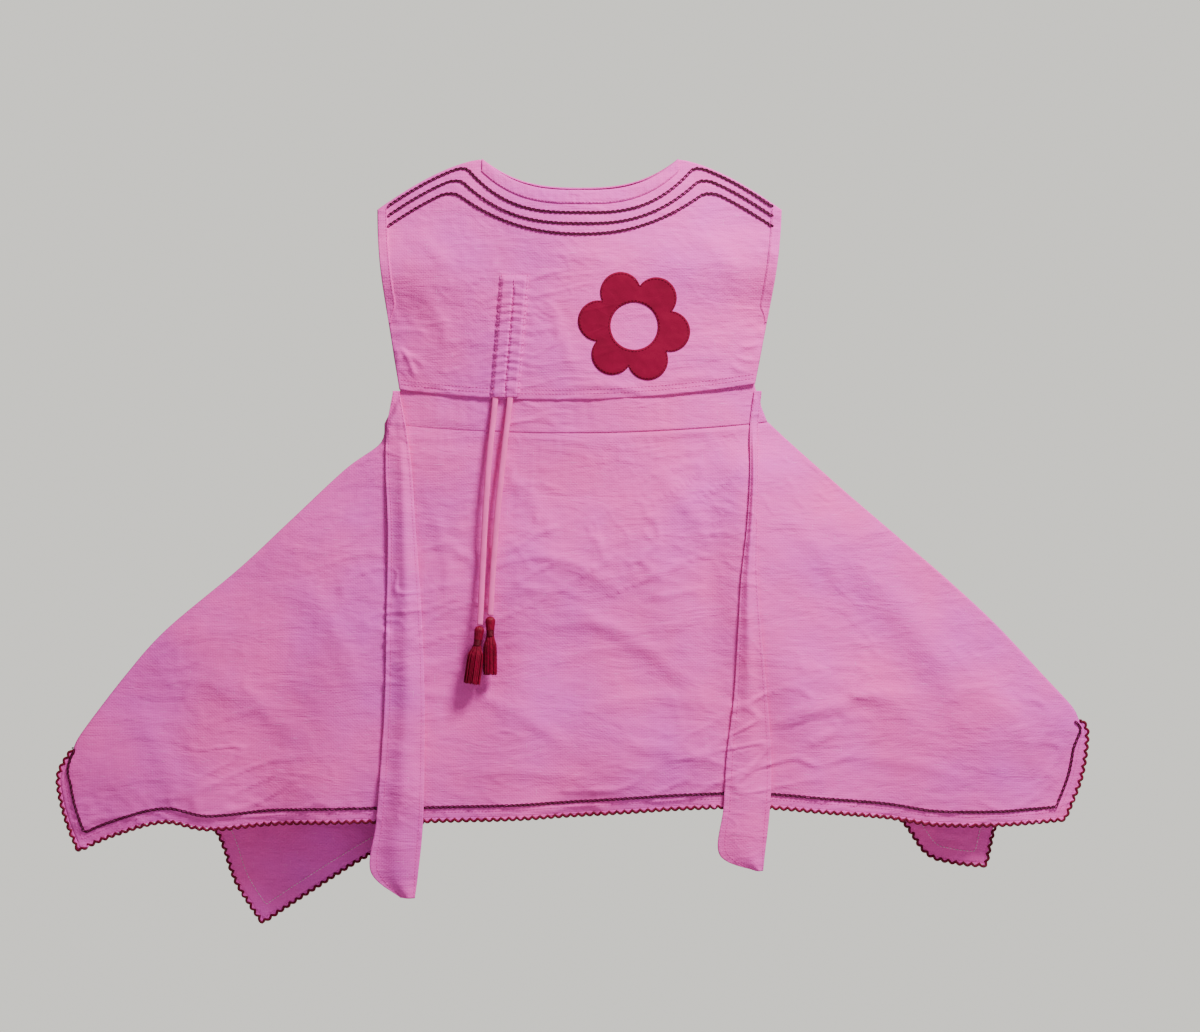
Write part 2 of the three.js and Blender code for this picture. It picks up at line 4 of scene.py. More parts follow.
import bmesh
import bpy
import numpy as np
from bpy.props import FloatProperty, FloatVectorProperty, IntProperty
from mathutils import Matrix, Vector


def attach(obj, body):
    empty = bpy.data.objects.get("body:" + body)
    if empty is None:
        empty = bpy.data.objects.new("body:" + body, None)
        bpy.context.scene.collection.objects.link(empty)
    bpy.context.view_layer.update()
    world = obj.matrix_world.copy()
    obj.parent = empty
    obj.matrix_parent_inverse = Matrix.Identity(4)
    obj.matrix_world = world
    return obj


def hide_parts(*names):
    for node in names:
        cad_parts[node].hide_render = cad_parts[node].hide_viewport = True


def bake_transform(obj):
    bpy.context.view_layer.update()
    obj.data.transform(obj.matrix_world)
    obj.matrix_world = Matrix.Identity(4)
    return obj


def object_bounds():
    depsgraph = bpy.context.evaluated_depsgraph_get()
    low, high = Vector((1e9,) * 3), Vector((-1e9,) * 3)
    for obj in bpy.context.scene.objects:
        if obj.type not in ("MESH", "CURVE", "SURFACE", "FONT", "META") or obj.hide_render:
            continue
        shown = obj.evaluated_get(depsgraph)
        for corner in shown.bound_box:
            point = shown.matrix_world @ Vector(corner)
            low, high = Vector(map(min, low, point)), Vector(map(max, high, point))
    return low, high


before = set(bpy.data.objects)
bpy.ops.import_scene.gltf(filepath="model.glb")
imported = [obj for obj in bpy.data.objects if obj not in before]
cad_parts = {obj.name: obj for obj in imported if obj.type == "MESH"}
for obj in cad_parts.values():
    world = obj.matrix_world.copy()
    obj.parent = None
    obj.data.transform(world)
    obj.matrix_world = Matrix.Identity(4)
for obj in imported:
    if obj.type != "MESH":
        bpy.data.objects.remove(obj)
CAD_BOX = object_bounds()

bl_info = {
    "name": "Handkerchief-hem dress",
    "version": (1, 0, 0),
    "blender": (4, 5, 0),
    "location": "3D View > Sidebar > Dress",
    "description": "Builds a child's sleeveless dress with drawcord, sashes and stitched trim",
    "category": "Object",
}

MM = 0.001
TAU = math.tau
HALVES = ("front", "back")

# ---- the dress's own sizes, in metres ----------------------------------------------------------
NECK_HALF = 84 * MM
NECK_DROP = {"front": 29 * MM, "back": 23 * MM}
NECK_ROUNDNESS = 2.8
SHOULDER_HALF = 173 * MM
SHOULDER_DROP = 43 * MM
UNDERARM_HALF = 162 * MM
UNDERARM_DROP = 139 * MM
HEM_HALF = 152 * MM
BODICE_LENGTH = 194.5 * MM
HEM_SAG = 12 * MM
HEM_TILT = 2.5 * MM
SIDE_SHIFT = 2.5 * MM
BODICE_DEPTH = 22 * MM
ARMHOLE_OPEN = 8.5 * MM
BAND_TOP = -(BODICE_LENGTH - 9 * MM)
WAIST_DROP = 225 * MM
WAIST_SAG = 9 * MM
SKIRT_LENGTH = 333 * MM
HEM_DEPTH = 30 * MM
SEAM_HALF = 1 * MM
LAYER_STEP = 2.4 * MM
SIDE_SIGN = {"front": -1, "back": 1}
HEM_INSET = 10 * MM

# Squares of each piece's grid, across and down.
BODICE_SQUARES = (230, 150)
SKIRT_SQUARES = (290, 144)
BAND_SQUARES = (260, 40)
CASING_SQUARES = (60, 260)
SASH_SQUARES = (36, 320)

# Outlines of the skirt as (across, down from the ends of the waist seam), in millimetres.
LEFT_FOLD = [(-167.5, 1), (-171, 18), (-201, 40), (-247, 83), (-292, 125), (-354, 177),
             (-389, 216), (-427, 266), (-434, 281)]
RIGHT_FOLD = [(160, -1), (187, 24), (229, 61), (271, 97), (314, 134), (356, 173),
              (398, 218), (421, 243), (427, 255)]
LEFT_SIDE = {
    "front": [(-434, 281), (-444, 298), (-445, 312), (-439, 337), (-428, 364)],
    "back": [(-434, 281), (-400, 296), (-352, 318), (-314, 349), (-296, 395), (-275, 430)],
}
HEM = {
    "front": [(-428, 364), (-399, 351), (-355, 339), (-315, 345), (-247, 339), (-131, 336),
              (-18, 332), (95, 325), (161, 325), (254, 334), (299, 341), (342, 342), (384, 340),
              (413.5, 338)],
    "back": [(-275, 430), (-222, 395), (-175, 367), (-127, 340), (-20, 318), (140, 314),
             (230, 324), (274, 338), (299, 369), (318, 376), (347, 378.5)],
}
RIGHT_SIDE = {
    "front": [(427, 255), (432.5, 266), (427.5, 303), (413.5, 338)],
    "back": [(427, 255), (408, 290), (375, 318), (356, 344), (347, 378.5)],
}
FOLD_SHARE = {"front": 8 / 12, "back": 7 / 12}
BAND_LEFT = [(-151, -185.5), (-153, -198.5), (-158, -207.5), (-167.5, -226)]
BAND_RIGHT = [(146.5, -185.5), (149, -196.5), (160, -224)]

# The drawcord's two legs, from inside the casing to their tassels, as (x, z) and, where they
# hang free, the distance in front of the skirt's cloth, in millimetres.
LEFT_LEG = [(-65.5, -136), (-68.5, -170), (-71.6, -204), (-74.5, -232, 4.9),
            (-77.3, -262, 6.4), (-79.8, -302, 7.9), (-81.6, -340, 9.2), (-82.8, -370, 10),
            (-84, -397, 10.8)]
RIGHT_LEG = [(-53, -136), (-56, -170), (-59.1, -204), (-62.3, -232, 5),
             (-65.6, -262, 6.1), (-69.6, -302, 7.4), (-72.6, -340, 8.4), (-74.4, -370, 9),
             (-75.4, -389, 9.5)]

# The bend at the top of the casing, from leg to leg, as (x, z), in millimetres.
BEND = [(-64.4, -124.5), (-63.6, -118), (-61.5, -111.5), (-57, -109.5), (-52.5, -111.5),
        (-51.2, -118), (-52.1, -124.5)]

# Edges of each sash, top to bottom, as (left, right, height), in millimetres.
LEFT_SASH = [(-160.5, -154, -201.5), (-165, -148.5, -228), (-166, -143.5, -262),
             (-163.5, -139.5, -316), (-164, -134, -387), (-165, -131, -457), (-168, -131, -513),
             (-172, -132, -564), (-176.5, -136, -605), (-151, -139, -627)]
RIGHT_SASH = [(148.5, 155, -201.5), (145, 152, -228), (144, 151, -274), (141, 150, -316),
              (136, 150, -359), (133.5, 153, -401), (130, 158, -457), (124, 161.5, -505),
              (121, 160.5, -550), (117.5, 156, -590), (148, 154.5, -604)]


# ---- sizes and colours a user would change -----------------------------------------------------
def size(name, description, default, low=0.0, high=1.0):
    return FloatProperty(name=name, description=description, default=default, min=low,
                         max=high, subtype="DISTANCE", unit="LENGTH", precision=5)


def colour(name, description, default):
    return FloatVectorProperty(name=name, description=description, default=default, size=3,
                               min=0.0, max=1.0, subtype="COLOR")


class DressColours(bpy.types.PropertyGroup):
    """Colours of the dress's cloths and threads."""
    cloth: colour("Cloth", "Pink slubbed cloth", (0.93, 0.092, 0.53))
    cord: colour("Drawcord", "Sewn tube of the drawcord", (0.93, 0.10, 0.44))
    flower: colour("Flower", "Cloth of the flower patch", (0.19, 0.001, 0.026))
    maroon: colour("Trim thread", "Chain-stitched rows", (0.075, 0.001, 0.016))
    edging: colour("Edging thread", "Thread of the scalloped edge", (0.16, 0.0, 0.022))
    tassel: colour("Tassel thread", "Thread of the tassels", (0.22, 0.0, 0.024))
    floor: colour("Floor", "Pale floor and surroundings", (0.56, 0.55, 0.51))


class DressCloth(bpy.types.PropertyGroup):
    """Thickness and relief of the cloth."""
    thickness: size("Thickness", "Cloth of the bodice and skirt", 0.9 * MM)
    weave: size("Weave pitch", "Distance between two threads", 0.75 * MM)
    crumple: size("Crumple", "Height of the fine crumples", 0.75 * MM)
    fold: size("Fold depth", "Height of the skirt's long soft folds at the hem", 4.5 * MM)
    fineness: FloatProperty(name="Fineness", description="Share of the full grid of points",
                            default=1.0, min=0.2, max=2.0, subtype="FACTOR")


class DressTrim(bpy.types.PropertyGroup):
    """Sizes of stitches, rows and tassels."""
    chain_pitch: size("Chain pitch", "Length of one chain stitch", 4.2 * MM)
    chain_width: size("Chain width", "Width of one chain stitch", 1.5 * MM)
    thread: size("Thread radius", "Embroidery thread", 0.45 * MM)
    stitch: size("Stitch pitch", "Length of one topstitch and its gap", 2.9 * MM)
    scallop_pitch: size("Scallop pitch", "Width of one scallop", 6.6 * MM)
    scallop_depth: size("Scallop depth", "How far a scallop stands out", 2.3 * MM)
    tassel_threads: IntProperty(name="Tassel threads", description="Threads in one tassel",
                                default=150, min=20, max=400)


# ---- small tools -------------------------------------------------------------------------------
def colours():
    return bpy.context.scene.dress_colours


def cloth():
    return bpy.context.scene.dress_cloth


def trim():
    return bpy.context.scene.dress_trim


def mix(a, b, t):
    return a + (b - a) * t


def smooth(t):
    t = np.clip(t, 0, 1)
    return t * t * (3 - 2 * t)


SPLINE_STEPS = 24  # between two of the given points
OVAL_ROUND = 2.2  # the way round an oval tube, in widths
THIN_RIM = 0.55  # the share of a cloth's thickness that is left at its rim


def spline(points, count):
    """count points, evenly spaced, along a smooth curve through the given ones."""
    p = np.asarray(points, float)
    p = np.vstack([p[:1], p, p[-1:]])
    t = np.linspace(0, 1, SPLINE_STEPS, endpoint=False)[:, None]
    dense = []
    for a, b, c, d in zip(p[:-3], p[1:-2], p[2:-1], p[3:]):
        dense.append(0.5 * (2 * b + (c - a) * t + (2 * a - 5 * b + 4 * c - d) * t ** 2
                            + (3 * b - a - 3 * c + d) * t ** 3))
    dense = np.vstack([*dense, p[-2:-1]])
    return respace(dense, count)


def shares(columns, rows):
    """Shares from 0 to 1 across, as a row, and down, as a column, for a grid of squares."""
    return np.linspace(0, 1, columns + 1)[None, :], np.linspace(0, 1, rows + 1)[:, None]


def unit(vectors):
    """The same vectors at length 1."""
    return vectors / (np.linalg.norm(vectors, axis=-1, keepdims=True) + 1e-12)


def run_along(line):
    """The distance from the start of a line to each of its points."""
    steps = np.linalg.norm(np.diff(np.asarray(line), axis=0), axis=1)
    return np.concatenate([[0], np.cumsum(steps)])


def length_of(line):
    return float(run_along(line)[-1])


def respace(line, count):
    """The same line with count points, evenly spaced."""
    run = run_along(line)
    at = np.linspace(0, run[-1], count)
    return np.stack([np.interp(at, run, line[:, k]) for k in range(line.shape[1])], 1)


def averaged(points, width):
    """Flat points, each the mean of an odd number of neighbours, with the ends held."""
    padded = np.pad(points, ((width // 2, width // 2), (0, 0)), "edge")
    return np.stack([np.convolve(padded[:, k], np.ones(width) / width, "valid")
                     for k in range(2)], -1)


RIPPLE_WAVES, RIPPLE_TALL = 14, 4.5


def ripple(x, z, bump, seed, stretch=1.0, turn=0.0):
    """A smooth random relief of about -1 to 1, with bumps about one bump across."""
    random = np.random.default_rng(seed)
    a = x * math.cos(turn) + z * math.sin(turn)
    b = (z * math.cos(turn) - x * math.sin(turn)) * stretch
    total = np.zeros(np.broadcast(x, z).shape)
    for _ in range(RIPPLE_WAVES):
        angle, pitch = random.uniform(0, TAU), random.uniform(1.4, 3.2) * bump
        phase = random.uniform(0, TAU)
        total += np.sin(TAU * (a * math.cos(angle) + b * math.sin(angle)) / pitch + phase)
    return total / RIPPLE_TALL


def crumple(x, z, bump, seed, stretch=1.0, turn=0.0):
    """Thin raised creases of about 0 to 1 between calm patches."""
    lines = ripple(x, z, bump, seed, stretch, turn)
    calm = smooth(ripple(x, z, bump * 2.2, seed + 50) * 0.7 + 0.45)
    return np.exp(-(lines / 0.16) ** 2) * calm


def crease(x, z, start, end, width, height):
    """One raised crease from start to end, in millimetres, fading at both ends."""
    a, b = np.array(start) * MM, np.array(end) * MM
    along = b - a
    run = np.linalg.norm(along)
    along = along / run
    s = ((x - a[0]) * along[0] + (z - a[1]) * along[1]) / run
    off = (x - a[0]) * -along[1] + (z - a[1]) * along[0]
    bow = off - 0.06 * run * np.sin(np.pi * np.clip(s, 0, 1))
    fade = smooth((s + 0.1) / 0.35) * smooth((1.1 - s) / 0.35)
    return height * MM * fade * np.exp(-(bow / (width * MM)) ** 2)


def new_mesh(name, points, faces, uv=None):
    """A mesh object in the scene, with an optional UV for every point."""
    mesh = bpy.data.meshes.new(name)
    mesh.from_pydata(np.asarray(points, float).tolist(), [], faces)
    if uv is not None:
        layer = mesh.uv_layers.new(name="weave")
        corner = np.empty(len(mesh.loops), np.int32)
        mesh.loops.foreach_get("vertex_index", corner)
        layer.data.foreach_set("uv", np.asarray(uv, np.float32)[corner].ravel())
    mesh.update()
    mesh.shade_smooth()
    piece = bpy.data.objects.new(name, mesh)
    bpy.context.scene.collection.objects.link(piece)
    return piece


def grid_normals(grid, side):
    """Unit normals of a grid of points, towards the given side of the middle plane."""
    across, down = np.gradient(grid, axis=1), np.gradient(grid, axis=0)
    normal = unit(np.cross(across, down))
    return normal * np.where(normal[..., 1:2] * side < 0, -1, 1)


def cloth_piece(name, grid, side, thickness, soft_edge=True):
    """A closed sheet round a grid of middle points, seen from outside on the given side."""
    rows, columns = grid.shape[:2]
    normal = grid_normals(grid, side)
    half = np.full((rows, columns, 1), thickness / 2)
    if soft_edge:
        rim = np.minimum.outer(np.minimum(np.arange(rows), np.arange(rows)[::-1]),
                               np.minimum(np.arange(columns), np.arange(columns)[::-1]))
        half[rim == 0] *= THIN_RIM
    points = np.concatenate([(grid + normal * half).reshape(-1, 3),
                             (grid - normal * half).reshape(-1, 3)])
    index = np.arange(rows * columns).reshape(rows, columns)
    back = index + rows * columns
    a, b, c, d = index[:-1, :-1], index[1:, :-1], index[1:, 1:], index[:-1, 1:]
    outer = np.stack([a, b, c, d], -1).reshape(-1, 4)
    inner = np.stack([a, d, c, b], -1).reshape(-1, 4) + rows * columns
    rim = np.concatenate([index[0, :], index[1:, -1], index[-1, -2::-1], index[-2:0:-1, 0]])
    rim_back = back.ravel()[rim]
    edge = np.stack([rim, np.roll(rim, -1), np.roll(rim_back, -1), rim_back], -1)
    faces = np.concatenate([outer, inner, edge])
    if side > 0:
        faces = faces[:, ::-1]
    uv = np.concatenate([grid[..., [0, 2]].reshape(-1, 2)] * 2)
    return new_mesh(name, points, faces.tolist(), uv)


def band_faces(rings, sides):
    """The four-sided faces between neighbouring rings of points that run right round."""
    for i in range(rings - 1):
        for k in range(sides):
            a, b = i * sides + k, i * sides + (k + 1) % sides
            yield a, b, b + sides, a + sides


def tube(name, line, width, depth, sides=14):
    """A closed oval tube along a line, wide across it and shallow from front to back."""
    along = unit(np.gradient(line, axis=0))
    across = unit(np.cross(along, (0.0, -1.0, 0.0)))
    out = np.cross(across, along)
    angle = np.arange(sides) * TAU / sides
    depth = np.broadcast_to(depth, len(line))[:, None, None]
    ring = (across[:, None] * np.cos(angle)[None, :, None] * width / 2
            + out[:, None] * np.sin(angle)[None, :, None] * depth / 2)
    count = len(line)
    points = np.vstack([(line[:, None] + ring).reshape(-1, 3), line[:1], line[-1:]])
    faces = list(band_faces(count, sides))
    first, last = count * sides, count * sides + 1
    for k in range(sides):
        a, b = k, (k + 1) % sides
        faces.append((first, b, a))
        faces.append((last, (count - 1) * sides + a, (count - 1) * sides + b))
    run = run_along(line)
    uv = np.stack([np.tile(angle / TAU * width * OVAL_ROUND, count), np.repeat(run, sides)], -1)
    uv = np.vstack([uv, [[0, 0]], [[0, run[-1]]]])
    piece = new_mesh(name, points, faces, uv)
    recalculate(piece)
    return piece


def recalculate(piece):
    """Turns every face of a closed mesh outwards."""
    work = bmesh.new()
    work.from_mesh(piece.data)
    bmesh.ops.recalc_face_normals(work, faces=work.faces)
    work.to_mesh(piece.data)
    work.free()


def join(name, pieces):
    """One object out of several."""
    points, faces, uvs = [], [], []
    start = 0
    for piece in pieces:
        mesh = piece.data
        count = len(mesh.vertices)
        co = np.empty(count * 3, np.float32)
        mesh.vertices.foreach_get("co", co)
        points.append(co.reshape(-1, 3))
        faces += [tuple(v + start for v in polygon.vertices) for polygon in mesh.polygons]
        uv = np.zeros((count, 2), np.float32)
        if mesh.uv_layers:
            corner = np.empty(len(mesh.loops), np.int32)
            mesh.loops.foreach_get("vertex_index", corner)
            flat = np.empty(len(mesh.loops) * 2, np.float32)
            mesh.uv_layers[0].data.foreach_get("uv", flat)
            uv[corner] = flat.reshape(-1, 2)
        uvs.append(uv)
        start += count
        bpy.data.objects.remove(piece)
    return new_mesh(name, np.vstack(points), faces, np.vstack(uvs))


def finish_piece(piece, material, body, *nodes, slot="pink_cloth"):
    """Gives a piece its material and its body, and hides the CAD nodes it stands for; slot is not
    used.
    """
    piece.data.materials.clear()
    piece.data.materials.append(material)
    if body:
        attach(piece, body)
    if nodes:
        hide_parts(*nodes)
    return piece


# ---- materials ---------------------------------------------------------------------------------
class Nodes:
    """A small helper that adds nodes to one tree."""

    def add(self, kind, inputs=None, **settings):
        node = self.tree.nodes.new(kind)
        for key, value in settings.items():
            setattr(node, key, value)
        self.fill(node, inputs or {})
        return node

    def fill(self, node, inputs):
        """Gives each input a link from another node's socket, or a plain value."""
        for key, value in inputs.items():
            if isinstance(value, bpy.types.NodeSocket):
                self.tree.links.new(value, node.inputs[key])
            else:
                node.inputs[key].default_value = value

    def math(self, operation, a, b=0.0):
        return self.add("ShaderNodeMath", {0: a, 1: b}, operation=operation).outputs[0]


class Shader(Nodes):
    """The nodes of one new material."""

    def __init__(self, name):
        self.material = bpy.data.materials.new(name)
        self.material.use_nodes = True
        self.tree = self.material.node_tree
        self.surface = self.tree.nodes["Principled BSDF"]

    def noise(self, vector, scale, detail=3.0, rough=0.55):
        inputs = {"Vector": vector, "Scale": scale, "Detail": detail, "Roughness": rough}
        return self.add("ShaderNodeTexNoise", inputs).outputs["Fac"]

    def stretch(self, vector, scale):
        return self.add("ShaderNodeMapping", {"Vector": vector, "Scale": scale}).outputs[0]

    def ramp(self, value, low, high):
        inputs = {"Value": value, "From Min": low, "From Max": high}
        return self.add("ShaderNodeMapRange", inputs).outputs["Result"]

    def blend(self, share, a, b):
        a, b = (tint if isinstance(tint, bpy.types.NodeSocket) else (*tint, 1) for tint in (a, b))
        inputs = {"Factor": share, 6: a, 7: b}
        return self.add("ShaderNodeMix", inputs, data_type="RGBA").outputs[2]

    def bump(self, height, strength, distance, normal=None):
        inputs = {"Height": height, "Strength": strength, "Distance": distance}
        if normal is not None:
            inputs["Normal"] = normal
        return self.add("ShaderNodeBump", inputs).outputs["Normal"]

    def place(self):
        return self.add("ShaderNodeTexCoord").outputs["Object"]

    def weave_place(self):
        return self.add("ShaderNodeUVMap", uv_map="weave").outputs[0]

    def wave(self, vector, scale, direction, **more):
        inputs = {"Vector": vector, "Scale": scale}
        inputs |= {key.replace("_", " "): value for key, value in more.items()}
        return self.add("ShaderNodeTexWave", inputs, bands_direction=direction).outputs["Fac"]

    def set(self, **inputs):
        self.fill(self.surface, {key.replace("_", " "): value for key, value in inputs.items()})


def made_once(store):
    """Lets a function make the material or node tree of a name only once."""
    def wrap(make):
        def named(name, *measures):
            return getattr(bpy.data, store).get(name) or make(name, *measures)
        return named
    return wrap


def shade(base, factor, shift=0.0):
    return tuple(min(1.0, max(0.0, c * factor + shift)) for c in base)


ONE_BAND = 0.1592  # the scale at which a wave texture repeats once for each unit


@made_once("materials")
def woven(name, base, slub=1.0, mottle=1.0):
    """Plain-woven cloth: crossing threads, thick slubs both ways, and soft patches of uneven dye and
    painted shade.
    """
    s = Shader(name)
    uv, place = s.weave_place(), s.place()
    pitch = cloth().weave
    drift = s.noise(uv, 60.0, 2.0)
    drift = s.add("ShaderNodeCombineXYZ", {"X": drift, "Y": drift}).outputs[0]
    threads = s.stretch(uv, (1 / pitch, 1 / pitch, 1))
    threads = s.add("ShaderNodeVectorMath", {0: threads, 1: drift}).outputs[0]
    warp, weft = (s.wave(threads, ONE_BAND, direction, Distortion=0.0) for direction in "XY")
    over = s.add("ShaderNodeTexChecker", {"Vector": threads, "Scale": 0.5}).outputs["Fac"]
    weave = s.add("ShaderNodeMix", {"Factor": over, 2: warp, 3: weft}, data_type="FLOAT").outputs[0]
    long_slub = s.ramp(s.noise(s.stretch(uv, (1100, 85, 1)), 1.0, 2.0), 0.66, 0.76)
    cross_slub = s.ramp(s.noise(s.stretch(uv, (80, 1050, 1)), 1.0, 2.0), 0.62, 0.74)
    slubs = s.math("MULTIPLY", s.math("MAXIMUM", long_slub, cross_slub), slub)
    # Soft random patches, lilac, warm and darker: partly uneven dye, partly painted soft shade.
    cloud = s.ramp(s.noise(place, 9.0, 4.0), 0.32, 0.70)
    patch = s.ramp(s.noise(place, 24.0, 5.0, 0.65), 0.35, 0.7)
    lilac, warm = np.multiply(base, (0.85, 0.95, 1.13)), np.multiply(base, (1.06, 0.99, 0.93))
    dye_and_shade = s.blend(s.math("MULTIPLY", cloud, mottle), warm, lilac)
    dye_and_shade = s.blend(s.math("MULTIPLY", patch, 0.30 * mottle), dye_and_shade, shade(base, 0.86))
    threaded_tone = s.blend(s.math("MULTIPLY", weave, 0.30), dye_and_shade, shade(base, 0.76))
    pale = s.blend(s.math("MULTIPLY", slubs, 0.55), threaded_tone, shade(base, 1.08, 0.12))
    fuzz = s.noise(uv, 1900.0, 2.0)
    slanted = s.add("ShaderNodeMapping", {"Vector": uv, "Rotation": (0, 0, -0.25),
                    "Scale": (14, 42, 1)}).outputs[0]
    lines = s.add("ShaderNodeTexNoise", {"Vector": slanted, "Scale": 1.0, "Detail": 4.0,
                  "Roughness": 0.6, "Distortion": 0.6}).outputs["Fac"]
    level = s.noise(s.stretch(uv, (70, 260, 1)), 1.0, 4.0, 0.6)
    knots = s.math("ADD", s.math("MULTIPLY", slubs, 1.2), s.math("MULTIPLY", fuzz, 0.5))
    relief = s.bump(lines, 0.6, 4.0 * MM)
    relief = s.bump(level, 0.5, 0.9 * MM, relief)
    relief = s.bump(knots, 0.35, 0.25 * MM, relief)
    relief = s.bump(weave, 0.45, 0.22 * MM, relief)
    s.set(Base_Color=pale, Roughness=0.88, Sheen_Weight=0.12, Sheen_Roughness=0.45,
          Sheen_Tint=(1.0, 0.55, 0.8, 1), Specular_IOR_Level=0.25, Normal=relief)
    return s.material


@made_once("materials")
def threaded(name, base, lustre=0.45, pitch=1.0 * MM):
    """Twisted embroidery thread with a soft lustre."""
    s = Shader(name)
    place = s.place()
    ply = s.wave(place, 0.1 / pitch, "DIAGONAL", Distortion=2.0, Detail=1.0, Detail_Scale=300.0)
    tone = s.noise(place, 160.0, 3.0)
    mixed = s.blend(s.ramp(tone, 0.3, 0.7), shade(base, 0.72), shade(base, 1.25))
    mixed = s.blend(s.math("MULTIPLY", ply, 0.4), mixed, shade(base, 0.5))
    s.set(Base_Color=mixed, Roughness=1 - lustre, Sheen_Weight=0.04, Sheen_Roughness=0.35,
          Sheen_Tint=(1.0, 0.3, 0.4, 1), Specular_IOR_Level=0.18,
          Normal=s.bump(ply, 0.5, 0.15 * MM))
    return s.material


@made_once("materials")
def sewn_tube(name, base):
    """Smooth ribbed cloth of the sewn cord."""
    s = Shader(name)
    uv = s.weave_place()
    ribs = s.wave(s.stretch(uv, (1400, 1400, 1)), 0.32, "Y", Distortion=1.2)
    tone = s.noise(s.stretch(uv, (200, 60, 1)), 1.0, 3.0)
    mixed = s.blend(s.ramp(tone, 0.3, 0.72), shade(base, 0.84), shade(base, 1.12))
    mixed = s.blend(s.math("MULTIPLY", ribs, 0.22), mixed, shade(base, 0.7))
    s.set(Base_Color=mixed, Roughness=0.85, Sheen_Weight=0.08, Sheen_Roughness=0.4,
          Specular_IOR_Level=0.25, Normal=s.bump(ribs, 0.35, 0.15 * MM))
    return s.material


@made_once("materials")
def felt(name, base):
    """Flat cloth with a short matted nap."""
    s = Shader(name)
    nap = s.noise(s.place(), 1500.0, 4.0, 0.7)
    cloud = s.noise(s.place(), 70.0, 4.0)
    mixed = s.blend(s.ramp(cloud, 0.3, 0.7), shade(base, 0.86), shade(base, 1.12))
    mixed = s.blend(s.math("MULTIPLY", nap, 0.3), mixed, shade(base, 1.3, 0.01))
    s.set(Base_Color=mixed, Roughness=0.95, Sheen_Weight=0.08, Sheen_Roughness=0.5,
          Sheen_Tint=(1.0, 0.4, 0.45, 1), Specular_IOR_Level=0.1,
          Normal=s.bump(nap, 0.4, 0.2 * MM))
    return s.material


def pink_cloth():
    return woven("dress_weave", colours().cloth)


def cord_cloth():
    return sewn_tube("cord_cloth", colours().cord)


def maroon_thread():
    return threaded("maroon_thread", colours().maroon)


def pale_thread():
    return threaded("pale_thread", shade(colours().cloth, 0.55, 0.42), 0.3)


def pink_thread():
    return threaded("pink_thread", shade(colours().cloth, 0.86), 0.3)


# ---- shape of the bodice -----------------------------------------------------------------------
def shoulder_z(x):
    out = np.clip((np.abs(x) - NECK_HALF) / (SHOULDER_HALF - NECK_HALF), 0, None)
    return -SHOULDER_DROP * out ** 1.5


def neckline_z(x, drop):
    out = np.abs(x) / NECK_HALF
    return np.where(out > 1, shoulder_z(x), -drop * (1 - np.minimum(out, 1) ** NECK_ROUNDNESS))


def bodice_hem_z(u):
    return -(BODICE_LENGTH + HEM_SAG * (1 - u * u)) + HEM_TILT * u


def bodice_half(z):
    arm = np.clip((-z - SHOULDER_DROP) / (UNDERARM_DROP - SHOULDER_DROP), 0, 1)
    side = np.clip((-z - UNDERARM_DROP) / (BODICE_LENGTH - UNDERARM_DROP), 0, 1)
    above = mix(SHOULDER_HALF, UNDERARM_HALF, arm ** 1.6)
    return np.where(z > -UNDERARM_DROP, above, mix(UNDERARM_HALF, HEM_HALF, side))


def bodice_shift(z):
    return -SIDE_SHIFT * np.clip(-z / BODICE_LENGTH, 0, 1)


def bodice_place(u, v, half):
    """x and z of the bodice at u from -1 at its left to 1, and v from 0 at the top to 1."""
    z = mix(neckline_z(u * SHOULDER_HALF, NECK_DROP[half]), bodice_hem_z(u), v)
    side_z = mix(-SHOULDER_DROP, -BODICE_LENGTH, v)
    return u * bodice_half(side_z) + bodice_shift(side_z), z


def bodice_depth(x, z):
    """The cloth's distance from the middle plane before it crumples."""
    across = np.clip((x - bodice_shift(z)) / bodice_half(z), -1, 1)
    rise = np.maximum(0, NECK_HALF - np.abs(x)) * 0.3
    below = np.clip((shoulder_z(x) + rise - z) / (110 * MM), 0, 1)
    full = np.cos(across * np.pi / 2) * np.sin(below * np.pi / 2)
    edge = SEAM_HALF + LAYER_STEP * smooth((-z - UNDERARM_DROP) / (-BAND_TOP - UNDERARM_DROP))
    arm = np.clip((-z - SHOULDER_DROP) / (UNDERARM_DROP - SHOULDER_DROP), 0, 1)
    armhole = ARMHOLE_OPEN * np.sin(np.pi * arm) ** 2 * np.abs(across) ** 3
    return edge + (BODICE_DEPTH - edge) * full + armhole


# Places and sizes on the bodice's front, and its creases as (start, end, width, height), in
# millimetres; the flower's turn is in degrees.
CASING = {"top": (-55.4, -101), "foot": (-63.8, -204), "width": 25}
FLOWER = {"centre": (46, -144), "hole": 20, "ring": 30.6, "petal": 17.4, "petals": 6, "turn": -8}

BODICE_CREASES = [
    ((-154, -160), (-141, -186), 2.2, 1.3), ((-150, -166), (-132, -178), 2.6, 0.9),
    ((153, -158), (136, -160), 2.2, 1.1), ((150, -172), (132, -169), 2.0, 1.0),
    ((148, -184), (128, -176), 2.4, 0.8), ((-158, -146), (-128, -150), 3.0, 0.7),
    ((-70, -88), (-92, -108), 2.4, 1.0), ((-44, -106), (-14, -98), 2.4, 1.0),
    ((-44, -122), (-20, -116), 2.2, 0.7), ((-66, -112), (-88, -124), 2.6, 0.7),
    ((-20, -196), (60, -202), 3.2, 0.9), ((70, -192), (128, -188), 3.4, 0.7),
    ((-140, -110), (-110, -160), 8.0, 1.2), ((95, -60), (140, -110), 9.0, 1.1),
    ((-20, -84), (30, -92), 5.0, 0.7), ((-145, -64), (-110, -96), 6.0, 0.9),
    ((110, -180), (140, -140), 5.0, 0.8), ((-30, -120), (-8, -180), 5.0, 0.8),
]


